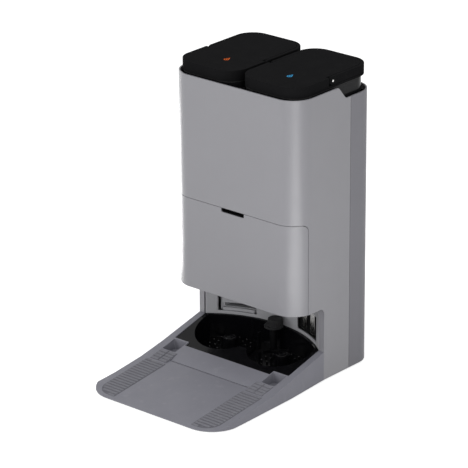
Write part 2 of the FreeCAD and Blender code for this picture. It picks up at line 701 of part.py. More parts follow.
# ---------------------------------------------------------------- wash tray
def make_tray():
    """A black basin with a round well for each mop."""
    front = d.tray_front + 11.3
    rear_half = d.cheek_inner - d.tray_gap
    tray = body("tray_body")
    side = sketch_on(tray, "YZ_Plane", "tray_side")
    outline(side, [(d.tray_front, d.tray_bottom), (d.tray_back, d.tray_bottom),
                   (d.tray_back, d.tray_rear_z), (85, d.tray_rear_z), (d.tray_front, d.tray_front_z)])
    pad(tray, side, 2 * rear_half, "tray_pad", midplane=True)
    for index, edge in enumerate((-1, 1)):
        notch = sketch_on(tray, "XY_Plane", f"tray_notch_{index}", 0)
        near, far = edge * d.tray_tongue, edge * (rear_half + 5)
        outline(notch, [(near, -20), (far, -20), (far, front), (near, front)])
        pocket(tray, notch, f"tray_notch_cut_{index}", 70, reversed_=True)
    disc = cylinder("tray_plan", d.bay_arc_radius - d.tray_gap, 70, (0, d.bay_arc_centre, 0))
    blank = common("tray_blank", tray, disc)

    def within_rear_wall(name, *shapes):
        """The part of the shapes in front of the tray's curved rear wall."""
        limit = cylinder(f"{name}_limit", d.bay_arc_radius - d.tray_wall, 80, (0, d.bay_arc_centre, 0))
        return common(name, *shapes, limit)

    wells = [cylinder(f"well_{i}", d.well_radius, 60, (sign * d.well_x, d.well_y, d.well_floor))
             for i, sign in enumerate((-1, 1))]
    between_sides = box("between_sides", (-d.well_half_width, d.well_half_width),
                        (0, d.tray_back), (0, 90))
    well_tool = within_rear_wall("well_tool", fuse("well_pair", *wells), between_sides)
    middle = within_rear_wall("well_middle", box("well_middle_box", (-40, 40), (32, d.tray_back),
                                                 (d.well_floor + 3, 90)))
    return cut("tray_cut", blank, well_tool, middle)


def make_wash_board(label, side):
    """A removable scrubbing disc with a hub and two rings of small studs."""
    x = side * d.well_x
    disc = cylinder(f"board_disc_{label}", d.board_radius, 3, (x, d.well_y, d.well_floor))
    hub = doc.addObject("Part::Cone", f"board_hub_{label}")
    bind(hub, Radius1=d.hub_radius, Radius2=d.hub_radius - 5, Height=d.hub_top - d.well_floor,
         Placement_Base_x=x, Placement_Base_y=d.well_y, Placement_Base_z=d.well_floor)
    studs = []
    for radius, count in ((28, 10), (39, 14)):
        for i in range(count):
            angle = 2 * math.pi * i / count
            place = (x + radius * math.cos(angle), d.well_y + radius * math.sin(angle), d.well_floor + 2)
            studs.append(cylinder(f"stud_{label}_{radius}_{i}", d.stud_radius, 5, place))
    return fuse(f"wash_board_{label}_fused", disc, hub, *studs)


node(make_tray(), "wash_tray")
for board_label, board_side in (("left", -1), ("right", 1)):
    node(make_wash_board(board_label, board_side), f"wash_board_{board_label}")

cap_stem = cylinder("cap_stem", 7, 46, (4, 115, d.well_floor + 3))
cap_flange = cylinder("cap_flange", 18, 4, (4, 115.6, d.tray_rear_z + 0.2))
cap_head = cylinder("cap_head", 14, 14, (7, 117, d.tray_rear_z + 4))
node(fuse("filter_cap_fused", cap_stem, cap_flange, cap_head), "tray_filter_cap")


# ---------------------------------------------------------------- dust bag compartment
bin_half = d.bin_half_width
bin_outer = box("bin_outer", (-bin_half, bin_half), (d.bin_front, d.bin_back), (d.bin_bottom, d.bin_top))
bin_inner = box("bin_inner", (2.5 - bin_half, bin_half - 2.5), (d.bin_front - 1, d.bin_back - 2.5),
                (d.bin_bottom + 2.5, d.bin_top - 2.5))
bin_inlet = cylinder("bin_inlet", d.duct_radius + 0.2, 20, (d.duct_x, d.bin_back - 10, d.duct_high), "Y")
bin_outlet = cylinder("bin_outlet", 30, 20, (d.fan_x, d.bin_back - 10, d.fan_z), "Y")
node(cut("dust_bay_cut", bin_outer, bin_inner, bin_inlet, bin_outlet), "dust_bag_bay")

seal_outer = box("seal_outer", (-bin_half, bin_half), (d.bin_front - 2.4, d.bin_front),
                 (d.bin_bottom, d.bin_top))
seal_inner = box("seal_inner", (6 - bin_half, bin_half - 6), (0, d.bin_front + 1),
                 (d.bin_bottom + 6, d.bin_top - 6))
node(cut("door_seal_cut", seal_outer, seal_inner), "door_seal")

frame_corners = [(-146.5, d.bin_bottom), (146.5, d.bin_bottom), (146.5, 321), (-146.5, 321)]
node(upright("mid_frame_plate", frame_corners, d.bin_back, d.bin_back + d.panel,
             holes=[(d.duct_x, d.duct_high, d.duct_radius + 0.2), (d.fan_x, d.fan_z, 30)]), "mid_frame")

collar_plate = box("collar_plate", (-110, -30), (134, 137.6), (190, 280))
collar_hole = cylinder("collar_hole", d.duct_radius + 1, 20, (d.duct_x, 125, d.duct_high), "Y")
node(cut("bag_collar_cut", collar_plate, collar_hole), "bag_collar")
bag = upright("dust_bag_body", [(-104, 157, 18), (104, 157, 18), (104, 298, 18), (-104, 298, 18)], 24, 133.9)
node(bag, "dust_bag")

node(cylinder("motor_filter_disc", 30 - 0.2, 5, (d.fan_x, d.bin_back - 2.5, d.fan_z), "Y"), "motor_filter")

duct_route = [(d.duct_x, 150.2, d.duct_low), (d.duct_x, 190, d.duct_low),
              (d.duct_x, 190, d.duct_high), (d.duct_x, 134.3, d.duct_high)]
node(sweep("duct_tube", duct_route, d.duct_radius, 30, inner=d.duct_radius - d.duct_wall), "suction_duct")


# ---------------------------------------------------------------- suction fan and dryer
fan_front = d.bin_back + d.panel + 0.3
can = cylinder("fan_can", d.fan_radius, 222 - fan_front, (d.fan_x, fan_front, d.fan_z), "Y")
can_inside = cylinder("fan_inside", d.fan_radius - 3, 216 - fan_front, (d.fan_x, fan_front + 3, d.fan_z), "Y")
can_inlet = cylinder("fan_inlet", 28, 10, (d.fan_x, fan_front - 3, d.fan_z), "Y")
can_outlets = [box(f"fan_outlet_{i}", (d.fan_x - 30, d.fan_x + 30), (210, 230),
                   (d.fan_z - 21 + 12 * i, d.fan_z - 15 + 12 * i)) for i in range(4)]
node(cut("fan_housing_cut", can, can_inside, can_inlet, *can_outlets), "fan_housing")

motor_can = cylinder("motor_can", 32, 40, (d.fan_x, 178.7, d.fan_z), "Y")
motor_shaft = cylinder("motor_shaft", 4, 26, (d.fan_x, 153, d.fan_z), "Y")
node(fuse("suction_motor_fused", motor_can, motor_shaft), "suction_motor")


def make_rotor(name, x, z, y, radius, hub, blades, bore, depth):
    """A fan wheel with flat blades between a back plate and its hub."""
    back = cylinder(f"{name}_back", radius, 2, (x, y, z), "Y")
    core = cylinder(f"{name}_core", hub, depth, (x, y, z), "Y")
    parts = [back, core]
    for i in range(blades):
        blade = doc.addObject("Part::Box", f"{name}_blade_{i}")
        bind(blade, Length=as_size(radius) - hub - 0.5, Width=depth, Height=1.6)
        turn = FreeCAD.Rotation(FreeCAD.Vector(0, 1, 0), 360 * i / blades)
        reach = turn.multVec(FreeCAD.Vector(as_size(hub).mm - 1, 0, -0.8))
        blade.Placement = FreeCAD.Placement(reach, turn)
        bind(blade, Placement_Base_x=as_size(x) + reach.x, Placement_Base_y=y,
             Placement_Base_z=as_size(z) + reach.z)
        parts.append(blade)
    hole = cylinder(f"{name}_bore", bore, as_size(depth) + 4, (x, as_size(y) - 2, z), "Y")
    return cut(f"{name}_cut", fuse(f"{name}_fused", *parts), hole)


node(make_rotor("impeller", d.fan_x, d.fan_z, 155, d.impeller_radius, 10, 9, 4 + d.running, 14),
     "suction_impeller")

dry_x, dry_z = 8, 118
scroll = cylinder("dryer_can", 27, 36, (dry_x, 142.2, dry_z), "Y")
scroll_inside = cylinder("dryer_inside", 24.5, 31, (dry_x, 144.7, dry_z), "Y")
scroll_mouth = cylinder("dryer_mouth", 16, 8, (dry_x, 140, dry_z), "Y")
dryer_shaft = cylinder("dryer_shaft", 2, 22, (dry_x, 154, dry_z), "Y")
dryer_shell = cut("dryer_housing_cut", scroll, scroll_inside, scroll_mouth)
node(fuse("dryer_housing_fused", dryer_shell, dryer_shaft), "dryer_housing")
node(make_rotor("dryer_wheel", dry_x, dry_z, 156, 21, 6, 12, 2 + d.running, 15), "dryer_rotor")


# ---------------------------------------------------------------- pumps, hoses and electrics
def make_pump(name, x, y, z, port):
    """A small diaphragm pump: a square head, a round motor and one hose stub."""
    head = box(f"{name}_head", (x[0], x[1]), (y[0], y[1]), (as_size(z) + 26, as_size(z) + 46))
    middle = ((x[0] + x[1]) / 2, (y[0] + y[1]) / 2)
    motor = cylinder(f"{name}_motor", 13, 27, (middle[0], middle[1], z))
    stub = cylinder(f"{name}_stub", d.hose_radius, 8, (port[0], port[1], as_size(z) + 45))
    return fuse(f"{name}_fused", head, motor, stub)


HOSE_TOP = 305
clean_side = d.tank_pitch / 2
node(make_pump("clean_pump_shape", (112, 143), (170, 200), d.base_floor, (130, d.spigot_y)), "clean_water_pump")
node(make_pump("drain_pump_shape", (-25, 12), (165, 205), d.base_floor, (-3, d.spigot_y)), "drain_pump")
pump_port = d.base_floor + 53
clean_route = [(130, d.spigot_y, pump_port), (130, d.spigot_y, HOSE_TOP),
               (clean_side, d.spigot_y, HOSE_TOP), (clean_side, d.spigot_y, 321)]
drain_route = [(-3, d.spigot_y, pump_port), (-3, d.spigot_y, HOSE_TOP),
               (-clean_side, d.spigot_y, HOSE_TOP), (-clean_side, d.spigot_y, 321)]
for hose_name, hose_route in (("clean_water_hose", clean_route), ("drain_hose", drain_route)):
    node(sweep(f"{hose_name}_tube", hose_route, d.hose_radius, 12, inner=d.hose_radius - 1.2), hose_name)

node(box("exhaust_foam", (-55, 15), (219, 227), (40, 106)), "exhaust_filter")

board = box("board_plate", (-60, -12), (214, 215.6), (120, 290))
chips = [box(f"chip_{i}", (-54 + 22 * (i % 2), -40 + 22 * (i % 2)), (209, 214.2),
             (130 + 30 * i, 146 + 30 * i)) for i in range(5)]
node(fuse("control_board_fused", board, *chips), "control_board")
node(box("power_supply_case", (24, 92), (188, 222), (d.base_floor, 110)), "power_supply")

inlet_block = upright("inlet_block", rounded((-88, -58), (14, 38), 3), 205, d.body_back - 0.5)
inlet_well = upright("inlet_well", rounded((-83, -63), (20, 32), 5), 212, 240)
inlet_pins = [cylinder(f"inlet_pin_{i}", 1.5, 13, (x, 211, 26), "Y") for i, x in enumerate((-77.3, -68.7))]
inlet_shell = cut("inlet_shell", inlet_block, inlet_well)
node(fuse("mains_inlet_fused", inlet_shell, *inlet_pins), "mains_inlet")


# ---------------------------------------------------------------- tank bay
def make_tank_bay():
    """The black lining that holds both tanks, with a rib between them."""
    outer = half_body - d.wall - d.liner_gap
    inner = outer - d.liner_wall
    front = d.body_front + d.wall + d.liner_gap
    back = d.body_back - d.wall - d.liner_gap
    front_radius = d.front_corner - d.wall - d.liner_gap
    back_radius = d.back_corner - d.wall - d.liner_gap
    bay = plate("tank_bay_body", rounded((-outer, outer), (front, back), front_radius, back_radius),
                321, d.rim_front - 10)
    for side in (-1, 1):
        well = sketch_on(bay, "XY_Plane", f"tank_well_{side + 1}", d.rim_front)
        inside, outside = 2, inner
        front_in, back_in = front + d.liner_wall, back - d.liner_wall
        outline(well, [(side * inside, front_in, 4), (side * outside, front_in, front_radius - d.liner_wall),
                       (side * outside, back_in, back_radius - d.liner_wall), (side * inside, back_in, 4)])
        pocket(bay, well, f"tank_well_cut_{side + 1}", d.rim_front - d.tank_floor)
    step = sketch_on(bay, "YZ_Plane", "lining_step")
    drop = 10
    outline(step, [(90, d.rim_front - drop), (d.step_start - 4, d.rim_front - drop, 10),
                   (d.step_end - 4, d.rim_rear - drop, 10), (240, d.rim_rear - drop), (240, 580), (90, 580)])
    pocket(bay, step, "lining_step_cut", 400, midplane=True)
    holes = sketch_on(bay, "XY_Plane", "spigot_holes", 330)
    for side in (-1, 1):
        ring(holes, side * clean_side, d.spigot_y, d.spigot_radius)
    pocket(bay, holes, "spigot_holes_cut", 20)
    return bay


node(make_tank_bay(), "tank_bay")


def make_spigot(label, side):
    """The tube that a tank sits down onto."""
    x = side * clean_side
    tube = cylinder(f"spigot_tube_{label}", d.spigot_radius, 13, (x, d.spigot_y, 321))
    bore = cylinder(f"spigot_bore_{label}", d.hose_radius - 1.2, 20, (x, d.spigot_y, 318))
    return cut(f"spigot_{label}", tube, bore)


node(make_spigot("clean", 1), "clean_spigot")
node(make_spigot("dirty", -1), "dirty_spigot")


# ---------------------------------------------------------------- the two tanks
handle_low = d.lid_ledge + 0.3
handle_axis_z = (handle_low + d.lid_top) / 2
handle_end = (d.lid_top - handle_low) / 2


def make_lid(label, centre):
    """A deep cap; its rear two thirds are stepped in so that the handle lies flush."""
    half = d.lid_width / 2
    lid = plate(f"{label}_lid_body", rounded((centre - half, centre + half), (d.lid_front, d.lid_back),
                                             d.lid_corner), d.lid_bottom, d.lid_top)
    channel = sketch_on(lid, "XY_Plane", f"{label}_handle_channel", d.lid_top)
    near, far = half - d.lid_inset, half + 5
    inner_corner = d.lid_corner - d.lid_inset
    rear = d.lid_back - d.lid_inset
    outline(channel, [(centre - far, d.handle_notch), (centre - near, d.handle_notch),
                      (centre - near, rear, inner_corner), (centre + near, rear, inner_corner),
                      (centre + near, d.handle_notch), (centre + far, d.handle_notch),
                      (centre + far, d.lid_back + 5), (centre - far, d.lid_back + 5)])
    pocket(lid, channel, f"{label}_handle_channel_cut", d.lid_top - d.lid_ledge)
    hollow = sketch_on(lid, "XY_Plane", f"{label}_lid_hollow", d.lid_bottom - 1)
    outline(hollow, rounded((centre - 60, centre + 60), (15, 216), 28))
    pocket(lid, hollow, f"{label}_lid_hollow_cut", d.lid_top - d.lid_bottom - d.lid_roof, reversed_=True)
    knuckle = cylinder(f"{label}_knuckle", 3.6, 28, (centre - 14, d.hinge_y, d.hinge_z), "X")
    bore = cylinder(f"{label}_knuckle_bore", d.hinge_pin + d.running, 34,
                    (centre - 17, d.hinge_y, d.hinge_z), "X")
    pin_holes = [cylinder(f"{label}_lid_pin_hole_{i}", d.pin_radius, 20,
                          (centre + sign * 62 - 10, d.handle_axis, handle_axis_z), "X")
                 for i, sign in enumerate((-1, 1))]
    return cut(f"{label}_lid_cut", fuse(f"{label}_lid_fused", lid, knuckle), bore, *pin_holes)


def make_handle(label, centre):
    """A flat bail handle round the lid's rear, turning on two pins."""
    half = d.lid_width / 2
    inner = half - d.handle_thick
    bail = body(f"{label}_handle_body")
    sketch = sketch_on(bail, "XY_Plane", f"{label}_handle_outline", handle_low)
    rear = d.lid_back
    outline(sketch, [(centre - half, d.handle_axis), (centre - inner, d.handle_axis),
                     (centre - inner, rear - d.handle_thick, d.lid_corner - d.handle_thick),
                     (centre + inner, rear - d.handle_thick, d.lid_corner - d.handle_thick),
                     (centre + inner, d.handle_axis), (centre + half, d.handle_axis),
                     (centre + half, rear, d.lid_corner), (centre - half, rear, d.lid_corner)])
    pad(bail, sketch, d.lid_top - handle_low, f"{label}_handle_pad")
    ends = [cylinder(f"{label}_handle_end_{i}", handle_end, d.handle_thick,
                     (x, d.handle_axis, handle_axis_z), "X")
            for i, x in enumerate((centre - half, centre + inner))]
    holes = [cylinder(f"{label}_handle_hole_{i}", d.pin_radius + d.running, 20,
                      (centre + sign * 66 - 10, d.handle_axis, handle_axis_z), "X")
             for i, sign in enumerate((-1, 1))]
    return cut(f"{label}_handle_cut", fuse(f"{label}_handle_fused", bail, *ends), *holes)


def make_tank(label, centre):
    """An open box with rounded corners, a valve hole in its floor and hinge ears at the back."""
    half = d.tank_width / 2
    tank = plate(f"{label}_tank_body", rounded((centre - half, centre + half),
                                               (d.tank_front, d.tank_back), d.tank_corner),
                 d.tank_bottom, d.tank_top)
    inside = sketch_on(tank, "XY_Plane", f"{label}_tank_inside", d.tank_top)
    inner = half - d.tank_wall
    outline(inside, rounded((centre - inner, centre + inner),
                            (d.tank_front + d.tank_wall, d.tank_back - d.tank_wall),
                            d.tank_corner - d.tank_wall))
    pocket(tank, inside, f"{label}_tank_inside_cut", d.tank_top - d.tank_bottom - d.tank_wall)
    ears = []
    for i, offset in enumerate((-20, 14.5)):
        ears.append(box(f"{label}_ear_{i}", (centre + offset, centre + offset + 5.5),
                        (d.tank_back, d.hinge_y), (d.hinge_z - 2.9, d.hinge_z + 2.9)))
        ears.append(cylinder(f"{label}_ear_end_{i}", 2.9, 5.5,
                             (centre + offset, d.hinge_y, d.hinge_z), "X"))
    hole = cylinder(f"{label}_valve_hole", 13, 10, (centre, d.spigot_y, d.tank_bottom - 3))
    bore = cylinder(f"{label}_ear_bore", d.hinge_pin, 50, (centre - 25, d.hinge_y, d.hinge_z), "X")
    return cut(f"{label}_tank_cut", fuse(f"{label}_tank_fused", tank, *ears), hole, bore)


def make_valve(label, centre):
    """The bushing in the tank's floor that closes on the spigot."""
    outer = cylinder(f"{label}_valve_outer", 13, 8, (centre, d.spigot_y, d.tank_bottom))
    seat = cylinder(f"{label}_valve_seat", d.spigot_radius + 0.6, 20, (centre, d.spigot_y, d.tank_bottom - 5))
    cap = cylinder(f"{label}_valve_cap", 13, 3, (centre, d.spigot_y, d.tank_bottom + 11))
    posts = [box(f"{label}_valve_post_{i}", (centre + x - 1.5, centre + x + 1.5),
                 (d.spigot_y - 1.5, d.spigot_y + 1.5), (d.tank_bottom + 7, d.tank_bottom + 12))
             for i, x in enumerate((-10.5, 10.5))]
    return cut(f"{label}_valve_cut", fuse(f"{label}_valve_fused", outer, cap, *posts),
               cylinder(f"{label}_valve_bore", d.spigot_radius + 0.6, 14.5,
                        (centre, d.spigot_y, d.tank_bottom - 3.6)))


def make_seal(label, centre):
    """The rubber ring between tank and lid."""
    half = d.tank_width / 2

    def loop(inset, low, high, part):
        corners = rounded((centre - half + inset, centre + half - inset),
                          (d.tank_front + inset, d.tank_back - inset), d.tank_corner - inset)
        return plate(f"{label}_seal_{part}", corners, low, high)

    return cut(f"{label}_seal_cut", loop(0, d.tank_top, d.lid_bottom - 0.2, "outer"),
               loop(d.tank_wall, d.tank_top - 1, d.lid_bottom + 1, "inner"))


for tank_label, tank_side in (("clean", 1), ("dirty", -1)):
    middle_x = tank_side * clean_side
    node(make_tank(tank_label, middle_x), f"{tank_label}_tank")
    node(make_valve(tank_label, middle_x), f"{tank_label}_tank_valve")
    node(make_seal(tank_label, middle_x), f"{tank_label}_tank_seal")
    hinge_pin = cylinder(f"{tank_label}_hinge_pin_rod", d.hinge_pin, 40,
                         (middle_x - 20, d.hinge_y, d.hinge_z), "X")
    node(hinge_pin, f"{tank_label}_hinge_pin")
    node(make_lid(tank_label, middle_x), f"{tank_label}_tank_lid")
    pins = [cylinder(f"{tank_label}_handle_pin_{i}", d.pin_radius, 12, (x, d.handle_axis, handle_axis_z), "X")
            for i, x in enumerate((middle_x - d.lid_width / 2, middle_x + d.lid_width / 2 - 12))]
    node(group(f"{tank_label}_handle_pin_pair", *pins), f"{tank_label}_handle_pins")
    node(make_handle(tank_label, middle_x), f"{tank_label}_tank_handle")

dirty_x = -clean_side
float_rod = cylinder("float_rod", 3, 205, (dirty_x - 40, 150, d.tank_bottom + d.tank_wall))
node(float_rod, "float_guide")
float_ring = cut("float_cut", cylinder("float_block", 15, 22, (dirty_x - 40, 150, d.tank_bottom + 3)),
                 cylinder("float_bore", 3.4, 40, (dirty_x - 40, 150, d.tank_bottom)))
node(float_ring, "dirty_tank_float")


# ---------------------------------------------------------------- check and write
doc.recompute()
for obj in doc.Objects:
    if "Invalid" in obj.State or "Error" in obj.State:
        raise RuntimeError(f"{obj.Label}: {obj.State}")
labels = [obj.Label for obj in nodes]
if len(labels) != len(set(labels)):
    raise RuntimeError("two sub-parts share a name")
for obj in nodes:
    if obj.Shape.isNull() or not obj.Shape.isValid() or not obj.Shape.Solids:
        raise RuntimeError(f"{obj.Label}: its shape is empty or invalid")
    obj.Shape.exportStep(f"parts/{obj.Label}.step")
print(len(nodes), "sub-parts written")
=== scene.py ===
# %% [markdown]
# # A docking station for a robot floor cleaner
# The station stands on the floor by a wall. The robot climbs the ribbed ramp and backs into the bay,
# where its mops are washed in a glossy black tray, its dust is sucked out and it is charged.
# The engineering model is loaded first. It holds every piece at its real size, so nothing is moved
# here: this script only gives the pieces their soft edges, their small details and their finishes.

# %% Load the engineering model
import math

import bmesh
import bpy
from mathutils import Matrix, Vector, noise


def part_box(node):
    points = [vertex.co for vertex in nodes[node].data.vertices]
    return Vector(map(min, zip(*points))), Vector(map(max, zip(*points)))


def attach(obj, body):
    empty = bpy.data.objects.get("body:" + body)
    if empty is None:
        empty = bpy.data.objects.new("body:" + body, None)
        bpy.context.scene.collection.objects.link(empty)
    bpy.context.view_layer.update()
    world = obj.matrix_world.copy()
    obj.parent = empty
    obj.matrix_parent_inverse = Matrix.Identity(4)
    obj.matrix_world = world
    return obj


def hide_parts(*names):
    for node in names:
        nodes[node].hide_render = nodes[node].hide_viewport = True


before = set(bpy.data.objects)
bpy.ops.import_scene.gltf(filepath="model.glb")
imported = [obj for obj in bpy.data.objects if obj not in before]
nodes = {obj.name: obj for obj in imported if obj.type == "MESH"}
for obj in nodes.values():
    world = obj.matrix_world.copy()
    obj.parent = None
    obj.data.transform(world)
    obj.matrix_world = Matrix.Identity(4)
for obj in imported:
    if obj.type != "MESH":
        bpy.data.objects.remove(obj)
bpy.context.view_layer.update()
MM = 0.001


# %% [markdown]
# ## Camera
# The camera looks from the front right and a little above, from far away with a long lens, so the
# upright edges stay nearly parallel. An orthographic camera would make them quite parallel, but a long
# lens keeps the trace of perspective that the eye expects of a real thing.

# %% Camera
def make_camera():
    """A camera placed by its azimuth, elevation, roll and distance from the point it looks at."""
    azimuth, elevation, roll = math.radians(40.56), math.radians(21.65), math.radians(-0.31)
    target = Vector((-0.0642, 0.0833, 0.2344))
    distance = 5.909
    right = Vector((math.cos(azimuth), math.sin(azimuth), 0))
    back = Vector((math.sin(azimuth) * math.cos(elevation),
                   -math.cos(azimuth) * math.cos(elevation), math.sin(elevation)))
    up = back.cross(right)
    turned_right = right * math.cos(roll) + up * math.sin(roll)
    turned_up = up * math.cos(roll) - right * math.sin(roll)
    camera = bpy.data.objects.new("camera", bpy.data.cameras.new("camera"))
    bpy.context.scene.collection.objects.link(camera)
    axes = Matrix((turned_right, turned_up, back)).transposed().to_4x4()
    camera.matrix_world = Matrix.Translation(target + back * distance) @ axes
    camera.data.sensor_width = 36
    camera.data.lens = 246.7
    bpy.context.scene.camera = camera
    print("camera", round(distance, 2), "m away, lens", camera.data.lens, "mm")


make_camera()


# %% [markdown]
# ## Studio
# The light is a pale studio: soft panels from the left front, from the right and from above, with a dim
# white world. The camera looks down, so the tower's upright walls mirror the floor and not the panels.
# Long highlights on its rounded corners therefore come from two strips of light that lie on the floor.
# The floor and the world look pure white to the eye and to mirrors, but light the object at a plain
# level, and the floor still takes the station's shadow.

# %% Lights, world and floor
def add_panel(name, place, aim, size, power):
    """A large soft light panel that faces the point aim."""
    light = bpy.data.lights.new(name, "AREA")
    light.shape = "RECTANGLE"
    light.size, light.size_y = size
    light.energy = power
    panel = bpy.data.objects.new(name, light)
    bpy.context.scene.collection.objects.link(panel)
    panel.location = place
    panel.rotation_euler = (Vector(aim) - Vector(place)).to_track_quat("-Z", "Y").to_euler()


def add_floor_strip(name, centre, azimuth, size, radiance):
    """A narrow light that lies on the floor, faces up, runs along azimuth and is hidden from the camera."""
    light = bpy.data.lights.new(name, "AREA")
    light.shape = "RECTANGLE"
    light.size, light.size_y = size
    light.energy = radiance * math.pi * size[0] * size[1]
    strip = bpy.data.objects.new(name, light)
    bpy.context.scene.collection.objects.link(strip)
    strip.location = (*centre, STRIP_LIGHT_HEIGHT)
    strip.rotation_euler = (math.pi, 0, math.radians(azimuth))
    strip.visible_camera = False


CENTRE = (0, 0, 0.28)
STRIP_LIGHT_HEIGHT = 4 * MM
add_panel("front_panel", (-1.7, -2.7, 1.5), CENTRE, (1.6, 2.6), 34)
add_panel("corner_panel", (1.15, -2.9, 1.2), CENTRE, (0.5, 2.6), 11)
add_panel("side_panel", (2.75, -1.75, 1.3), CENTRE, (1.0, 2.6), 18)
add_panel("top_panel", (0.2, 0.3, 3.2), CENTRE, (2.4, 2.4), 20)
add_floor_strip("right_edge_strip", (0.80, -0.52), 49, (0.62, 1.1), 2.4)
add_floor_strip("left_edge_strip", (-0.98, 0.32), -110, (0.5, 1.0), 5)


def seen_directly(tree):
    """1 where the camera, a mirror or glass looks at the surface, and 0 for all other light."""
    path = tree.nodes.new("ShaderNodeLightPath")
    total = path.outputs["Is Camera Ray"]
    for ray in ("Is Glossy Ray", "Is Transmission Ray"):
        larger = tree.nodes.new("ShaderNodeMath")
        larger.operation = "MAXIMUM"
        tree.links.new(total, larger.inputs[0])
        tree.links.new(path.outputs[ray], larger.inputs[1])
        total = larger.outputs[0]
    return total


FLOOR_HALF = 9
FLOOR_GLOW = 0.62


def make_floor():
    """A wide pale floor that glows just enough to look white round the shadow."""
    mesh = bpy.data.meshes.new("floor")
    corners = [(x * FLOOR_HALF, y * FLOOR_HALF, 0) for x, y in ((-1, -1), (1, -1), (1, 1), (-1, 1))]
    mesh.from_pydata(corners, [], [(0, 1, 2, 3)])
    floor = bpy.data.objects.new("floor", mesh)
    bpy.context.scene.collection.objects.link(floor)
    material = bpy.data.materials.new("floor_white")
    material.use_nodes = True
    tree = material.node_tree
    tree.nodes.clear()
    diffuse = tree.nodes.new("ShaderNodeBsdfDiffuse")
    diffuse.inputs["Color"].default_value = (0.8, 0.8, 0.8, 1)
    glow = tree.nodes.new("ShaderNodeEmission")
    level = tree.nodes.new("ShaderNodeMath")
    level.operation = "MULTIPLY"
    level.inputs[1].default_value = FLOOR_GLOW
    tree.links.new(seen_directly(tree), level.inputs[0])
    tree.links.new(level.outputs[0], glow.inputs["Strength"])
    both = tree.nodes.new("ShaderNodeAddShader")
    output = tree.nodes.new("ShaderNodeOutputMaterial")
    tree.links.new(diffuse.outputs[0], both.inputs[0])
    tree.links.new(glow.outputs[0], both.inputs[1])
    tree.links.new(both.outputs[0], output.inputs["Surface"])
    mesh.materials.append(material)


def make_world(dim, bright):
    """A white world: dim where it lights the object, bright where it is looked at."""
    world = bpy.data.worlds.new("studio")
    bpy.context.scene.world = world
    world.use_nodes = True
    tree = world.node_tree
    background = tree.nodes["Background"]
    background.inputs["Color"].default_value = (1, 1, 1, 1)
    level = tree.nodes.new("ShaderNodeMapRange")
    level.inputs["To Min"].default_value = dim
    level.inputs["To Max"].default_value = bright
    tree.links.new(seen_directly(tree), level.inputs["Value"])
    tree.links.new(level.outputs[0], background.inputs["Strength"])


make_floor()
make_world(0.5, 1.0)
bpy.context.scene.view_settings.view_transform = "Standard"
print("studio ready")


# %% [markdown]
# ## Moulded finishes
# Almost every piece is injection moulded. Its surface is not one colour: the mould is lightly spark
# eroded, which gives a fine grain, the pigment drifts a little over a large panel, and use leaves
# faint scuffs. One function makes that whole family from Object coordinates, which are the part's own
# metres, so a grain of half a millimetre is half a millimetre on every piece.

# %% Helpers for node-based finishes
def start_finish(name, roughness, specular=0.5, metallic=0.0, coat=0.0):
    """An empty finish: its tree, its shader and the coordinates that its patterns follow."""
    material = bpy.data.materials.new(name)
    material.use_nodes = True
    tree = material.node_tree
    shader = tree.nodes["Principled BSDF"]
    shader.inputs["Roughness"].default_value = roughness
    shader.inputs["Specular IOR Level"].default_value = specular
    shader.inputs["Metallic"].default_value = metallic
    shader.inputs["Coat Weight"].default_value = coat
    place = tree.nodes.new("ShaderNodeTexCoord").outputs["Object"]
    return material, tree, shader, place


def math_node(tree, operation, first, second=0.0):
    """One sum of two values, each a socket or a number, in a finish or in a tree of shapes."""
    node = tree.nodes.new("ShaderNodeMath")
    node.operation = operation
    for value, socket in zip((first, second), node.inputs):
        if isinstance(value, (int, float)):
            socket.default_value = value
        else:
            tree.links.new(value, socket)
    return node.outputs[0]


def grain(tree, place, size_mm, detail=2.0, stretch=(1, 1, 1)):
    """Noise whose lumps are about size_mm wide; a stretch above 1 makes them narrower that way."""
    mapping = tree.nodes.new("ShaderNodeMapping")
    mapping.inputs["Scale"].default_value = stretch
    tree.links.new(place, mapping.inputs["Vector"])
    texture = tree.nodes.new("ShaderNodeTexNoise")
    texture.inputs["Scale"].default_value = 1 / (size_mm * MM)
    texture.inputs["Detail"].default_value = detail
    tree.links.new(mapping.outputs[0], texture.inputs["Vector"])
    return texture.outputs["Fac"]


def between(tree, value, low, high, from_low=0.3, from_high=0.7):
    """The value, spread from low to high."""
    node = tree.nodes.new("ShaderNodeMapRange")
    node.inputs["From Min"].default_value = from_low
    node.inputs["From Max"].default_value = from_high
    node.inputs["To Min"].default_value = low
    node.inputs["To Max"].default_value = high
    tree.links.new(value, node.inputs["Value"])
    return node.outputs[0]


def two_tones(tree, factor, first, second):
    """A colour between two; each is a colour or a socket."""
    node = tree.nodes.new("ShaderNodeMix")
    node.data_type = "RGBA"
    tree.links.new(factor, node.inputs["Factor"])
    for value, socket in zip((first, second), (node.inputs[6], node.inputs[7])):
        if isinstance(value, (tuple, list)):
            socket.default_value = (*value, 1)
        else:
            tree.links.new(value, socket)
    return node.outputs[2]


def add_bump(tree, shader, height, depth_mm):
    """Raises the surface by depth_mm where height is 1."""
    bump = tree.nodes.new("ShaderNodeBump")
    bump.inputs["Distance"].default_value = depth_mm * MM
    bump.inputs["Strength"].default_value = 1.0
    tree.links.new(height, bump.inputs["Height"])
    tree.links.new(bump.outputs[0], shader.inputs["Normal"])


def shade(colour, amount):
    """The colour made lighter or darker by a share of itself."""
    return tuple(channel * (1 + amount) for channel in colour)


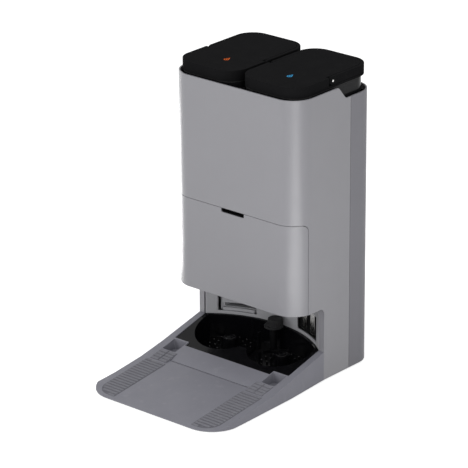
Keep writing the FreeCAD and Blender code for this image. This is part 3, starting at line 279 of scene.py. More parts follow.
def moulded(name, colour, roughness, grain_mm=0.6, depth_mm=0.03, drift=0.04, scuff=0.05, **kind):
    """Moulded plastic: drifting pigment, fine grain and faint upright scuffs."""
    material, tree, shader, place = start_finish(name, roughness, **kind)
    broad = between(tree, grain(tree, place, 90), 0, 1)
    base = two_tones(tree, broad, shade(colour, -drift), shade(colour, drift))
    fine = grain(tree, place, grain_mm)
    speckled = two_tones(tree, between(tree, fine, 0, 0.5), base, shade(colour, -2 * drift))
    marks = between(tree, grain(tree, place, 14, 6, (1, 1, 0.25)), 0, scuff, 0.58, 0.75)
    worn = two_tones(tree, marks, speckled, (0.8, 0.8, 0.8))
    tree.links.new(worn, shader.inputs["Base Color"])
    rubbed = between(tree, grain(tree, place, 30, 4), 0.88 * roughness, 1.12 * roughness)
    tree.links.new(rubbed, shader.inputs["Roughness"])
    add_bump(tree, shader, fine, depth_mm)
    return material


# %% [markdown]
# ## The colours of the station
# The shells share one warm grey; the ramp is a cooler one and its rubber a little darker. The lids and
# handles are satin black, with almost no mirror, because a strong one turns black grey when it is seen
# at a low angle. The tray is a deep gloss black. The function above makes each from a colour, a
# roughness and the size of its grain, so the family stays related.

# %% The moulded family
GREY = (0.193, 0.191, 0.209)
RAMP_GREY = (0.200, 0.200, 0.230)
BLACK = (0.0098, 0.0098, 0.0104)
shell_grey = moulded("shell_grey", GREY, 0.36, drift=0.02, scuff=0.003, specular=1.0)
rear_grey = moulded("rear_grey", shade(GREY, 0.10), 0.45, drift=0.02, scuff=0.003, specular=0.10)
base_grey = moulded("base_grey", RAMP_GREY, 0.52, 0.9, 0.05, drift=0.03, scuff=0.04, specular=0.35)
lining_grey = moulded("lining_grey", (0.36, 0.36, 0.378), 0.45, drift=0.03)
grip_rubber = moulded("grip_rubber", (0.185, 0.185, 0.208), 0.72, 0.5, 0.06, specular=0.25)
strip_rubber = moulded("strip_rubber", (0.14, 0.14, 0.16), 0.8, 0.5, 0.06, specular=0.15)
foot_rubber = moulded("foot_rubber", (0.02, 0.02, 0.02), 0.8, 0.4, 0.05, specular=0.3)
satin_black = moulded("satin_black", BLACK, 0.42, 0.5, 0.02, drift=0.05, scuff=0.002, specular=0.001)
deep_gloss = moulded("deep_gloss", (0.0028, 0.0028, 0.0036), 0.14, 3, 0.004, scuff=0.004, specular=0.10)
cap_grey = moulded("cap_grey", (0.020, 0.020, 0.021), 0.45, 0.5, 0.02, drift=0.1, scuff=0.01, specular=0.1)
stud_gloss = moulded("stud_gloss", (0.010, 0.010, 0.010), 0.10, 2, 0.005, scuff=0.01, specular=0.6)
inner_plastic = moulded("inner_plastic", (0.06, 0.06, 0.065), 0.5, 0.7, 0.04, drift=0.08)
pump_plastic = moulded("pump_plastic", (0.33, 0.33, 0.34), 0.45, 0.7, 0.04, drift=0.06)
float_foam = moulded("float_foam", (0.78, 0.75, 0.68), 0.75, 1.2, 0.12, drift=0.06)
print("moulded finishes ready")


# %% [markdown]
# ## Metal, foam, paper, card, hose and circuit board
# The rest of the station is not moulded. Rolled or drawn metal has fine lines along its length, which
# stretched noise gives. Open-cell foam and non-woven paper have cells and fibres, for which Voronoi
# cells and crossed noise are the plain choice. Each has its own short function.

# %% Finishes of everything that isn't moulded
def brushed_metal(name, colour, roughness, stretch):
    """Metal with fine lines; stretch is small along the lines."""
    material, tree, shader, place = start_finish(name, roughness, metallic=1.0)
    lines = grain(tree, place, 0.35, 3, stretch)
    tone = two_tones(tree, between(tree, lines, 0, 1), shade(colour, -0.12), shade(colour, 0.06))
    tree.links.new(tone, shader.inputs["Base Color"])
    tree.links.new(between(tree, lines, 0.7 * roughness, 1.5 * roughness), shader.inputs["Roughness"])
    add_bump(tree, shader, lines, 0.01)
    return material


def celled(name, colour, cell_mm, depth_mm):
    """Foam: round cells, with painted shade inside each cell."""
    material, tree, shader, place = start_finish(name, 0.95, specular=0.15)
    cells = tree.nodes.new("ShaderNodeTexVoronoi")
    cells.inputs["Scale"].default_value = 1 / (cell_mm * MM)
    tree.links.new(place, cells.inputs["Vector"])
    wall = between(tree, cells.outputs["Distance"], 0, 1, 0.1, 0.7)
    # Painted shade: each cell's hollow is darker and its walls lighter, following the bump.
    tree.links.new(two_tones(tree, wall, shade(colour, -0.6), shade(colour, 0.4)),
                   shader.inputs["Base Color"])
    add_bump(tree, shader, wall, depth_mm)
    return material


DIMPLE_FIBRES = 6


def fibrous(name, colour, roughness, fibre_mm, depth_mm):
    """Paper or card: two crossed sets of fibres and a soft pressed dimple pattern."""
    material, tree, shader, place = start_finish(name, roughness, specular=0.2)
    one_way = grain(tree, place, fibre_mm, 4, (1, 1, 0.12))
    other_way = grain(tree, place, fibre_mm, 4, (0.12, 1, 1))
    fibres = math_node(tree, "MAXIMUM", one_way, other_way)
    dimples = tree.nodes.new("ShaderNodeTexVoronoi")
    dimples.inputs["Scale"].default_value = 1 / (DIMPLE_FIBRES * fibre_mm * MM)
    tree.links.new(place, dimples.inputs["Vector"])
    height = math_node(tree, "MULTIPLY", fibres, between(tree, dimples.outputs["Distance"], 0.4, 1, 0, 0.5))
    tone = two_tones(tree, between(tree, fibres, 0, 1, 0.4, 0.75), shade(colour, -0.18), shade(colour, 0.1))
    tree.links.new(tone, shader.inputs["Base Color"])
    add_bump(tree, shader, height, depth_mm)
    return material


def ringed_hose(name, colour):
    """Milky tube with faint extrusion rings."""
    material, tree, shader, place = start_finish(name, 0.3, specular=0.5)
    shader.inputs["Transmission Weight"].default_value = 0.35
    rings = tree.nodes.new("ShaderNodeTexWave")
    rings.bands_direction = "Z"
    rings.inputs["Scale"].default_value = 160
    rings.inputs["Distortion"].default_value = 1.5
    tree.links.new(place, rings.inputs["Vector"])
    tone = two_tones(tree, rings.outputs["Fac"], shade(colour, -0.1), shade(colour, 0.1))
    tree.links.new(tone, shader.inputs["Base Color"])
    add_bump(tree, shader, rings.outputs["Fac"], 0.05)
    return material


def solder_mask(name):
    """A green board: lacquered tracks that stand a little proud."""
    material, tree, shader, place = start_finish(name, 0.3, coat=0.6)
    mapping = tree.nodes.new("ShaderNodeMapping")
    mapping.inputs["Rotation"].default_value = (math.radians(90), 0, 0)
    tree.links.new(place, mapping.inputs["Vector"])
    tracks = tree.nodes.new("ShaderNodeTexBrick")
    tracks.inputs["Scale"].default_value = 90
    tracks.inputs["Mortar Size"].default_value = 0.03
    tracks.inputs["Color1"].default_value = (0.012, 0.10, 0.045, 1)
    tracks.inputs["Color2"].default_value = (0.016, 0.13, 0.055, 1)
    tracks.inputs["Mortar"].default_value = (0.05, 0.28, 0.13, 1)
    tree.links.new(mapping.outputs[0], tracks.inputs["Vector"])
    tree.links.new(tracks.outputs["Color"], shader.inputs["Base Color"])
    tree.links.new(between(tree, grain(tree, place, 5), 0.22, 0.4), shader.inputs["Roughness"])
    add_bump(tree, shader, tracks.outputs["Fac"], 0.05)
    return material


def smoked_tank(name):
    """Dark plastic of the water tanks that lets a trace of light through, with faint water marks."""
    material, tree, shader, place = start_finish(name, 0.16, specular=0.08)
    shader.inputs["Transmission Weight"].default_value = 0.03
    shader.inputs["IOR"].default_value = 1.49
    marks = grain(tree, place, 22, 6, (1, 1, 2.5))
    tone = two_tones(tree, between(tree, marks, 0, 1), (0.007, 0.007, 0.008), (0.012, 0.012, 0.013))
    tree.links.new(tone, shader.inputs["Base Color"])
    tree.links.new(between(tree, marks, 0.12, 0.24), shader.inputs["Roughness"])
    add_bump(tree, shader, grain(tree, place, 4), 0.01)
    return material


steel = brushed_metal("steel", (0.62, 0.62, 0.61), 0.22, (0.06, 1, 1))
bright_metal = brushed_metal("bright_metal", (0.88, 0.87, 0.84), 0.13, (1, 1, 0.05))
seal_foam = celled("seal_foam", (0.035, 0.035, 0.037), 1.1, 0.4)
bag_paper = fibrous("bag_paper", (0.76, 0.73, 0.66), 0.9, 1.2, 0.25)
collar_card = fibrous("collar_card", (0.50, 0.38, 0.25), 0.85, 0.8, 0.12)
filter_paper = fibrous("filter_paper", (0.80, 0.79, 0.75), 0.9, 0.7, 0.1)
milky_hose = ringed_hose("milky_hose", (0.55, 0.57, 0.6))
board_green = solder_mask("board_green")
tank_smoke = smoked_tank("tank_smoke")
print(len(bpy.data.materials), "finishes so far")


# %% [markdown]
# ## Printed marks on the lids, and painted shade on the filter cap's stem
# Each lid carries a small printed drop, orange for used water and blue for fresh, so that nobody fills
# the wrong tank. A print has no thickness worth modelling, so it is part of the lid's finish: the
# distance to a drop shape is worked out from the lid's own X and Y, and ink shows where that is small.
# The filter cap is one moulding too, grey above the tray's rim; below the rim its stem stands in the tray's
# hollow, and that shade is painted into its colour as near black, so its colour changes at a height.

# %% Finishes painted by place
DROP_RADIUS_MM = 4.2


def repainted(name, finish):
    """A copy of a finish, with what is needed to paint over its colour by place."""
    material = finish.copy()
    material.name = name
    tree = material.node_tree
    shader = tree.nodes["Principled BSDF"]
    split = tree.nodes.new("ShaderNodeSeparateXYZ")
    place = next(node for node in tree.nodes if node.type == "TEX_COORD").outputs["Object"]
    tree.links.new(place, split.inputs[0])
    plain = shader.inputs["Base Color"].links[0].from_socket
    return material, tree, shader, split.outputs, plain


def printed_drop(tree, axes, centre, radius_mm):
    """1 on the line of a drop round the centre, and on a dot inside it."""
    across = math_node(tree, "DIVIDE", math_node(tree, "SUBTRACT", axes[0], centre[0]), MM)
    along = math_node(tree, "DIVIDE", math_node(tree, "SUBTRACT", axes[1], centre[1]), MM)
    below = math_node(tree, "MINIMUM", along, 0.0)
    above = math_node(tree, "MAXIMUM", along, 0.0)
    squares = math_node(tree, "ADD", math_node(tree, "MULTIPLY", below, below),
                        math_node(tree, "MULTIPLY", across, across))
    width = math_node(tree, "SUBTRACT", radius_mm, math_node(tree, "MULTIPLY", above, 0.48))
    distance = math_node(tree, "SUBTRACT", math_node(tree, "SQRT", squares), width)
    line = between(tree, math_node(tree, "ABSOLUTE", distance), 1, 0, 0.55, 0.85)
    dot = between(tree, math_node(tree, "ADD", distance, 0.62 * radius_mm), 1, 0, -0.15, 0.15)
    return math_node(tree, "MAXIMUM", line, dot)


def lid_black(name, ink, centre):
    """Satin black with one printed drop in a bright ink."""
    material, tree, shader, axes, plain = repainted(name, satin_black)
    mark = printed_drop(tree, axes, centre, DROP_RADIUS_MM)
    tree.links.new(two_tones(tree, mark, plain, ink), shader.inputs["Base Color"])
    return material


def shaded_below(name, upper, shade_colour, height):
    """A copy of a finish with a painted shade colour below a height, blurred over a fraction of a millimetre.
    """
    blur = 0.2 * MM
    material, tree, shader, axes, plain = repainted(name, upper)
    above = between(tree, axes[2], 0, 1, height - blur, height + blur)
    tree.links.new(two_tones(tree, above, shade_colour, plain), shader.inputs["Base Color"])
    return material


RIM_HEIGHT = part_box("wash_tray")[1].z
# Painted shade: below the tray's rim the cap's stem is painted near black.
cap_shaded_stem = shaded_below("cap_shaded_stem", cap_grey, (0.003, 0.003, 0.0035), RIM_HEIGHT)
dirty_lid_black = lid_black("dirty_lid_black", (0.85, 0.16, 0.03), (-0.065, 0.066))
clean_lid_black = lid_black("clean_lid_black", (0.07, 0.45, 0.85), (0.082, 0.066))


# %% [markdown]
# ## Soft edges on the shells
# The engineering shells have knife-sharp edges, but a moulding never has: the mould is polished to a
# radius of about a millimetre, and that radius is what catches the light along every rim and seam.
# A Bevel modifier on the sharp edges gives it. The shell's mesh comes as loose triangles, so a copy is
# merged first, and its flat faces are joined so that the bevel has clean edges to follow.

# %% Helpers that make and soften a piece
def ready_piece(name, mesh, body, slot_name, material, *replaced):
    """Links a finished mesh as a piece that rides on a body."""
    piece = bpy.data.objects.new(name, mesh)
    bpy.context.scene.collection.objects.link(piece)
    mesh.materials.clear()
    mesh.materials.append(material)
    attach(piece, body)
    if replaced:
        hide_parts(*replaced)
    return piece


def modified_mesh(mesh, *modifiers):
    """The mesh after modifiers, each given as (type, settings)."""
    helper = bpy.data.objects.new("helper", mesh)
    bpy.context.scene.collection.objects.link(helper)
    for kind, settings in modifiers:
        modifier = helper.modifiers.new(kind.lower(), kind)
        for key, value in settings.items():
            setattr(modifier, key, value)
    evaluated = helper.evaluated_get(bpy.context.evaluated_depsgraph_get())
    result = bpy.data.meshes.new_from_object(evaluated)
    bpy.data.objects.remove(helper)
    return result


def merged_copy(node_name):
    """A copy of a part's mesh with its loose triangles joined into clean faces."""
    mesh = nodes[node_name].data.copy()
    work = bmesh.new()
    work.from_mesh(mesh)
    bmesh.ops.remove_doubles(work, verts=work.verts, dist=0.005 * MM)
    bmesh.ops.dissolve_limit(work, angle_limit=math.radians(0.6), verts=work.verts, edges=work.edges)
    for face in work.faces:
        face.smooth = True
    work.to_mesh(mesh)
    work.free()
    if "custom_normal" in mesh.attributes:
        mesh.attributes.remove(mesh.attributes["custom_normal"])
    return mesh


def soften(node_name, body, slot_name, material, radius_mm):
    """Replaces a part by itself with rounded edges."""
    edges = ("BEVEL", {"width": radius_mm * MM, "segments": 3, "limit_method": "ANGLE",
                       "angle_limit": math.radians(32), "harden_normals": True,
                       "miter_outer": "MITER_ARC"})
    mesh = modified_mesh(merged_copy(node_name), edges)
    mesh.name = f"{node_name}_soft"
    piece = ready_piece(f"{node_name}_soft", mesh, body, slot_name, material, node_name)
    print(piece.name, "edges", radius_mm, "mm,", len(mesh.polygons), "faces")


# %% [markdown]
# ## Which shells get how much
# Big mouldings get about 0.7 mm. Lids, handles and the tray are handled and wiped, so they are rounder;
# small inner panels are sharper. One table says it, and one loop does it.

# %% Soften every shell that is seen or handled
SHELLS = [
    ("front_housing", "station", "grey_shell", shell_grey, 0.7),
    ("rear_cover", "station", "grey_shell", rear_grey, 0.7),
    ("front_door", "door", "grey_shell", shell_grey, 0.7),
    ("bay_liner", "station", "grey_shell", lining_grey, 0.5),
    ("dust_port", "station", "grey_shell", lining_grey, 0.7),
    ("base_ramp", "station", "grey_base", base_grey, 0.9),
    ("wash_tray", "tray", "black_gloss", deep_gloss, 0.9),
    ("tray_filter_cap", "tray", "black_satin", cap_shaded_stem, 0.8),
    ("clean_tank_lid", "clean_lid", "black_satin", clean_lid_black, 1.0),
    ("dirty_tank_lid", "dirty_lid", "black_satin", dirty_lid_black, 1.0),
    ("clean_tank_handle", "clean_handle", "black_satin", satin_black, 0.9),
    ("dirty_tank_handle", "dirty_handle", "black_satin", satin_black, 0.9),
    ("tank_bay", "station", "black_satin", satin_black, 0.5),
    ("clean_tank", "clean_tank", "tank_smoke", tank_smoke, 0.6),
    ("dirty_tank", "dirty_tank", "tank_smoke", tank_smoke, 0.6),
    ("door_grip", "door", "black_satin", satin_black, 0.3),
    ("contact_holder", "station", "black_satin", satin_black, 0.4),
    ("charge_contact_left", "contact_left", "contact_metal", bright_metal, 0.7),
    ("charge_contact_right", "contact_right", "contact_metal", bright_metal, 0.7),
    ("mains_inlet", "station", "black_satin", satin_black, 0.4),
    ("power_supply", "station", "pump_plastic", pump_plastic, 1.5),
]
for shell in SHELLS:
    soften(*shell)


# %% [markdown]
# ## Finishes of the parts that keep their engineering shape
# Pins, screws, fans, hoses and filters are right as they come, so each only gets its real finish.

# %% Dress the remaining parts
FINISHES = {
    strip_rubber: "ramp_grip_strips ramp_block_pads",
    foot_rubber: "rubber_feet dust_port_gasket clean_tank_seal dirty_tank_seal",
    deep_gloss: "wash_board_left wash_board_right",
    inner_plastic: ("air_grille clean_spigot dirty_spigot mid_frame dust_bag_bay suction_duct fan_housing "
                    "dryer_housing clean_tank_valve dirty_tank_valve suction_impeller dryer_rotor"),
    pump_plastic: "clean_water_pump drain_pump",
    steel: "housing_screws clean_hinge_pin dirty_hinge_pin suction_motor door_magnets float_guide",
    bright_metal: "clean_handle_pins dirty_handle_pins",
    seal_foam: "door_seal exhaust_filter",
    filter_paper: "motor_filter",
    bag_paper: "dust_bag",
    collar_card: "bag_collar",
    milky_hose: "clean_water_hose drain_hose",
    board_green: "control_board",
    float_foam: "dirty_tank_float",
}
for finish, names in FINISHES.items():
    for name in names.split():
        for place in nodes[name].material_slots:
            place.material = finish
print("dressed", sum(len(names.split()) for names in FINISHES.values()), "parts")


# %% [markdown]
# ## Parts that repeat
# Ribs, blocks, studs, louvres, stitches and small electronic parts repeat by a rule, so Geometry Nodes
# make them: a tree lays out points, puts one small shape on each and gives it its finish. A few helpers
# keep the trees short. The result is turned into a plain mesh, so nothing depends on the tree later.

# %% Helpers for node trees
def new_tree(name, **inputs):
    """A tree whose named inputs are given as (socket type, default)."""
    tree = bpy.data.node_groups.new(name, "GeometryNodeTree")
    for label, (kind, default) in inputs.items():
        socket = tree.interface.new_socket(label, in_out="INPUT", socket_type=f"NodeSocket{kind}")
        if default is not None:
            socket.default_value = default
    tree.interface.new_socket("Geometry", in_out="OUTPUT", socket_type="NodeSocketGeometry")
    return tree, tree.nodes.new("NodeGroupInput").outputs


def add_node(tree, kind, settings=None, **inputs):
    """A node with its inputs set or linked by their labels; a low line stands for a space."""
    node = tree.nodes.new(kind)
    for key, value in (settings or {}).items():
        setattr(node, key, value)
    for label, value in inputs.items():
        socket = node.inputs[label.replace("_", " ")]
        if isinstance(value, bpy.types.NodeSocket):
            tree.links.new(value, socket)
        else:
            socket.default_value = value
    return node


def close_tree(tree, geometry, finish):
    """Ends a tree: real geometry with its finish on it."""
    real = add_node(tree, "GeometryNodeRealizeInstances", Geometry=geometry)
    dressed = add_node(tree, "GeometryNodeSetMaterial", Geometry=real.outputs[0], Material=finish)
    tree.links.new(dressed.outputs[0], tree.nodes.new("NodeGroupOutput").inputs[0])


def with_mirror(tree, geometry):
    """The geometry and its mirror image on the station's other side."""
    other = add_node(tree, "GeometryNodeTransform", Geometry=geometry, Scale=(-1, 1, 1))
    turned = add_node(tree, "GeometryNodeFlipFaces", Mesh=other.outputs[0])
    both = tree.nodes.new("GeometryNodeJoinGeometry")
    tree.links.new(turned.outputs[0], both.inputs[0])
    tree.links.new(geometry, both.inputs[0])
    return both.outputs[0]


def grown(name, tree, body, slot_name, finish, edge_mm=0.0, **values):
    """Runs a tree with these input values and leaves a plain piece, its edges rounded by edge_mm."""
    holder = bpy.data.objects.new("holder", bpy.data.meshes.new("holder"))
    bpy.context.scene.collection.objects.link(holder)
    modifier = holder.modifiers.new("tree", "NODES")
    modifier.node_group = tree
    values["Finish"] = finish
    for socket in tree.interface.items_tree:
        if socket.in_out == "INPUT" and socket.name in values:
            modifier[socket.identifier] = values[socket.name]
    evaluated = holder.evaluated_get(bpy.context.evaluated_depsgraph_get())
    mesh = bpy.data.meshes.new_from_object(evaluated)
    bpy.data.objects.remove(holder)
    if edge_mm:
        mesh = modified_mesh(mesh, ("BEVEL", {"width": edge_mm * MM, "segments": 2, "limit_method": "ANGLE",
                                              "harden_normals": True}))
    mesh.name = name
    ready_piece(name, mesh, body, slot_name, finish)
    print(name, len(mesh.polygons), "faces")


# %% [markdown]
# ## Ribs on the ramp
# The robot's wheels need grip, so two rubber strips carry ribs across the way it drives. They follow
# one rule: even pitch up the slope, each as long as the strip is wide at that point, which is shorter
# round the strip's front corner. The tree works that length out from the corner's circle, so the ribs
# always fill the strip; the same tree mirrors them to the other side.

# %% Ribs that follow the strip's rounded corner
def ribs_tree():
    """Bars across both strips; their outer ends follow the rounded front corner."""
    tree, source = new_tree("ramp_ribs", Count=("Int", 18), First=("Vector", None), Step=("Vector", None),
                            Inner=("Float", 0.09), Outer=("Float", 0.14), Corner=("Float", 0.03),
                            Depth=("Float", 0.004), Height=("Float", 0.001), Slope=("Float", 0.1),
                            Finish=("Material", None))
    line = add_node(tree, "GeometryNodeMeshLine", {"mode": "OFFSET"}, Count=source["Count"],
                    Start_Location=source["First"], Offset=source["Step"])
    position = tree.nodes.new("GeometryNodeInputPosition")
    here = add_node(tree, "ShaderNodeSeparateXYZ", Vector=position.outputs[0])
    first = add_node(tree, "ShaderNodeSeparateXYZ", Vector=source["First"])
    corner_y = math_node(tree, "ADD", first.outputs[1], source["Corner"])
    into = math_node(tree, "MAXIMUM", math_node(tree, "SUBTRACT", corner_y, here.outputs[1]), 0.0)
    squared = math_node(tree, "SUBTRACT", math_node(tree, "POWER", source["Corner"], 2.0),
                     math_node(tree, "POWER", into, 2.0))
    rounded = math_node(tree, "SUBTRACT", math_node(tree, "SQRT", math_node(tree, "MAXIMUM", squared, 0.0)),
                     source["Corner"])
    outer = math_node(tree, "ADD", source["Outer"], rounded)
    length = math_node(tree, "SUBTRACT", outer, source["Inner"])
    middle = math_node(tree, "MULTIPLY", math_node(tree, "ADD", outer, source["Inner"]), 0.5)
    shift = add_node(tree, "ShaderNodeCombineXYZ", X=middle)
    points = add_node(tree, "GeometryNodeSetPosition", Geometry=line.outputs[0], Offset=shift.outputs[0])
    size = add_node(tree, "ShaderNodeCombineXYZ", X=1.0, Y=source["Depth"], Z=source["Height"])
    bar = add_node(tree, "GeometryNodeMeshCube", Size=size.outputs[0])
    lean = add_node(tree, "ShaderNodeCombineXYZ", X=source["Slope"])
    turn = add_node(tree, "FunctionNodeEulerToRotation", Euler=lean.outputs[0])
    stretch = add_node(tree, "ShaderNodeCombineXYZ", X=length, Y=1.0, Z=1.0)
    bars = add_node(tree, "GeometryNodeInstanceOnPoints", Points=points.outputs[0], Instance=bar.outputs[0],
                    Rotation=turn.outputs[0], Scale=stretch.outputs[0])
    real = add_node(tree, "GeometryNodeRealizeInstances", Geometry=bars.outputs[0])
    close_tree(tree, with_mirror(tree, real.outputs[0]), source["Finish"])
    return tree


RAMP_TOE = Vector((0, -230, 2.6)) * MM
RAMP_KNEE = Vector((0, -78, 19)) * MM
RAMP_TOP = Vector((0, -20, 31)) * MM
STRIP_INNER = 92 * MM
STRIP_CORNER = 30 * MM
STRIP_EDGE = 1.5 * MM
FIRST_RIB = 3 * MM
RIB_PITCH = 8 * MM
RIB_DEPTH = 5.2 * MM
RIB_HEIGHT = 0.9 * MM


def slope_between(low_end, high_end):
    """The angle of the slope between two points of the ramp's section."""
    return math.atan2(high_end.z - low_end.z, high_end.y - low_end.y)


strip_low, strip_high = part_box("ramp_grip_strips")
ramp_angle = slope_between(RAMP_TOE, RAMP_KNEE)
rib_count = int((strip_high.y - strip_low.y - 4 * MM) / RIB_PITCH) + 1
rib_start = strip_low.y + FIRST_RIB
rib_start_height = RAMP_TOE.z + (rib_start - RAMP_TOE.y) * math.tan(ramp_angle)
grown("ramp_ribs", ribs_tree(), "station", "grip_rubber", grip_rubber, 0.25, Count=rib_count,
      First=(0, rib_start, rib_start_height), Step=(0, RIB_PITCH, RIB_PITCH * math.tan(ramp_angle)),
      Inner=STRIP_INNER + STRIP_EDGE, Outer=strip_high.x - STRIP_EDGE, Corner=STRIP_CORNER,
      Depth=RIB_DEPTH, Height=2 * RIB_HEIGHT, Slope=ramp_angle)


# %% [markdown]
# ## Blocks behind the ribs
# Just before the bay the ribs give way to square rubber blocks, two across and four deep, set on the
# steeper part of the ramp. A flat grid of points, laid on the slope, places them.

# %% Rubber blocks on the steeper slope
def blocks_tree():
    """A grid of blocks on a slope, and the same on the other side."""
    tree, source = new_tree("ramp_blocks", Across=("Int", 2), Along=("Int", 4), Width=("Float", 0.02),
                            Length=("Float", 0.02), Centre=("Vector", None), Slope=("Float", 0.2),
                            Block=("Vector", None), Finish=("Material", None))
    grid = add_node(tree, "GeometryNodeMeshGrid", Size_X=source["Width"], Size_Y=source["Length"],
                    Vertices_X=source["Across"], Vertices_Y=source["Along"])
    block = add_node(tree, "GeometryNodeMeshCube", Size=source["Block"])
    blocks = add_node(tree, "GeometryNodeInstanceOnPoints", Points=grid.outputs[0], Instance=block.outputs[0])
    real = add_node(tree, "GeometryNodeRealizeInstances", Geometry=blocks.outputs[0])
    lean = add_node(tree, "ShaderNodeCombineXYZ", X=source["Slope"])
    laid = add_node(tree, "GeometryNodeTransform", Geometry=real.outputs[0], Translation=source["Centre"],
                    Rotation=lean.outputs[0])
    close_tree(tree, with_mirror(tree, laid.outputs[0]), source["Finish"])
    return tree


PAD_INNER = 95.4 * MM
PAD_RISE = 0.75 * MM
BLOCKS_ACROSS, BLOCKS_ALONG = 2, 4
BLOCK = (17.6 * MM, 6.6 * MM, 1.8 * MM)
BLOCK_SPAN = (19.6 * MM, 25 * MM)
pad_low, pad_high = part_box("ramp_block_pads")
pad_middle = (pad_low + pad_high) / 2
pad_middle.x = (PAD_INNER + pad_high.x) / 2
pad_middle.z += PAD_RISE
grown("ramp_blocks", blocks_tree(), "station", "grip_rubber", grip_rubber, 0.3, Across=BLOCKS_ACROSS,
      Along=BLOCKS_ALONG, Width=BLOCK_SPAN[0], Length=BLOCK_SPAN[1], Centre=pad_middle,
      Slope=slope_between(RAMP_KNEE, RAMP_TOP), Block=BLOCK)


# %% [markdown]
# ## Rings of studs and flutes
# Each scrubbing disc has two rings of studs whose rounded tips comb the mop, and the filter cap has
# flutes for the fingers. All are small domes on a circle, so one tree makes them.

# %% Domes on a circle
def ring_tree():
    """Count domes on a circle round the centre."""
    tree, source = new_tree("ring_of_domes", Count=("Int", 12), Radius=("Float", 0.02),
                            Centre=("Vector", None), Dome=("Float", 0.002), Tall=("Float", 1.0),
                            Finish=("Material", None))
    circle = add_node(tree, "GeometryNodeMeshCircle", Vertices=source["Count"], Radius=source["Radius"])
    dome = add_node(tree, "GeometryNodeMeshUVSphere", Segments=12, Rings=8, Radius=source["Dome"])
    size = add_node(tree, "ShaderNodeCombineXYZ", X=1.0, Y=1.0, Z=source["Tall"])
    domes = add_node(tree, "GeometryNodeInstanceOnPoints", Points=circle.outputs[0], Instance=dome.outputs[0],
                     Scale=size.outputs[0])
    moved = add_node(tree, "GeometryNodeTransform", Geometry=domes.outputs[0], Translation=source["Centre"])
    smooth = add_node(tree, "GeometryNodeSetShadeSmooth", Geometry=moved.outputs[0])
    close_tree(tree, smooth.outputs[0], source["Finish"])
    return tree


STUD_RINGS = ((28, 10), (39, 14))
STUD_TOP = 17.6 * MM
STUD_TIP_RADIUS = 1.9 * MM
CAP_CENTRE = (7 * MM, 117 * MM, 67.5 * MM)
CAP_RADIUS = 13.7 * MM
CAP_FLUTES = 22
FLUTE_RADIUS = 0.9 * MM
domes = ring_tree()
for side in ("left", "right"):
    low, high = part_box(f"wash_board_{side}")
    middle = (low + high) / 2
    for radius_mm, count in STUD_RINGS:
        grown(f"stud_tips_{side}_{radius_mm}", domes, "tray", "black_gloss", stud_gloss, Count=count,
              Radius=radius_mm * MM, Centre=(middle.x, middle.y, STUD_TOP), Dome=STUD_TIP_RADIUS, Tall=0.7)
grown("cap_flutes", domes, "tray", "black_satin", cap_grey, Count=CAP_FLUTES, Radius=CAP_RADIUS,
      Centre=CAP_CENTRE, Dome=FLUTE_RADIUS, Tall=6.4)


# %% [markdown]
# ## Rows of bars
# The comb in the ramp's slot, the near-black bars behind the side seams that give the seams painted shade,
# the rear louvres, the ribs inside the door and the filter's pleats are straight bars in a row, so they
# share a tree with a count, a step, a bar size and a tilt. Their places come from the parts that they sit in.

# %% Bars in a row
def row_tree():
    """Count equal bars, one step apart, each tilted about its own length."""
    tree, source = new_tree("row_of_bars", Count=("Int", 7), First=("Vector", None), Step=("Vector", None),
                            Bar=("Vector", None), Tilt=("Float", 0.0), Finish=("Material", None))
    line = add_node(tree, "GeometryNodeMeshLine", {"mode": "OFFSET"}, Count=source["Count"],
                    Start_Location=source["First"], Offset=source["Step"])
    bar = add_node(tree, "GeometryNodeMeshCube", Size=source["Bar"])
    lean = add_node(tree, "ShaderNodeCombineXYZ", X=source["Tilt"])
    turn = add_node(tree, "FunctionNodeEulerToRotation", Euler=lean.outputs[0])
    bars = add_node(tree, "GeometryNodeInstanceOnPoints", Points=line.outputs[0], Instance=bar.outputs[0],
                    Rotation=turn.outputs[0])
    close_tree(tree, bars.outputs[0], source["Finish"])
    return tree


SLOT_MIDDLE = Vector((0, -62, 16)) * MM
COMB_TEETH, COMB_PITCH = 46, 4 * MM
SEAM_INSET = 1.1 * MM
LOUVRE_MIDDLE_X, LOUVRE_START, LOUVRE_PITCH = -20 * MM, 46 * MM, 9 * MM
DOOR_RIBS, DOOR_RIB_PITCH, DOOR_MIDDLE = 9, 22 * MM, 228 * MM
PLEATS, PLEAT_PITCH = 15, 3 * MM
FIRST_PLEAT = (39 * MM, 139.2 * MM, 235 * MM)
rows = row_tree()
grown("slot_comb", rows, "station", "foot_rubber", foot_rubber, 0.2, Count=COMB_TEETH,
      First=SLOT_MIDDLE - Vector(((COMB_TEETH - 1) / 2 * COMB_PITCH, 0, 0)), Step=(COMB_PITCH, 0, 0),
      Bar=(3.4 * MM, 2.2 * MM, 3.6 * MM))
cover_low, cover_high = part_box("rear_cover")
front_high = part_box("front_housing")[1]
seam_x = front_high.x - SEAM_INSET
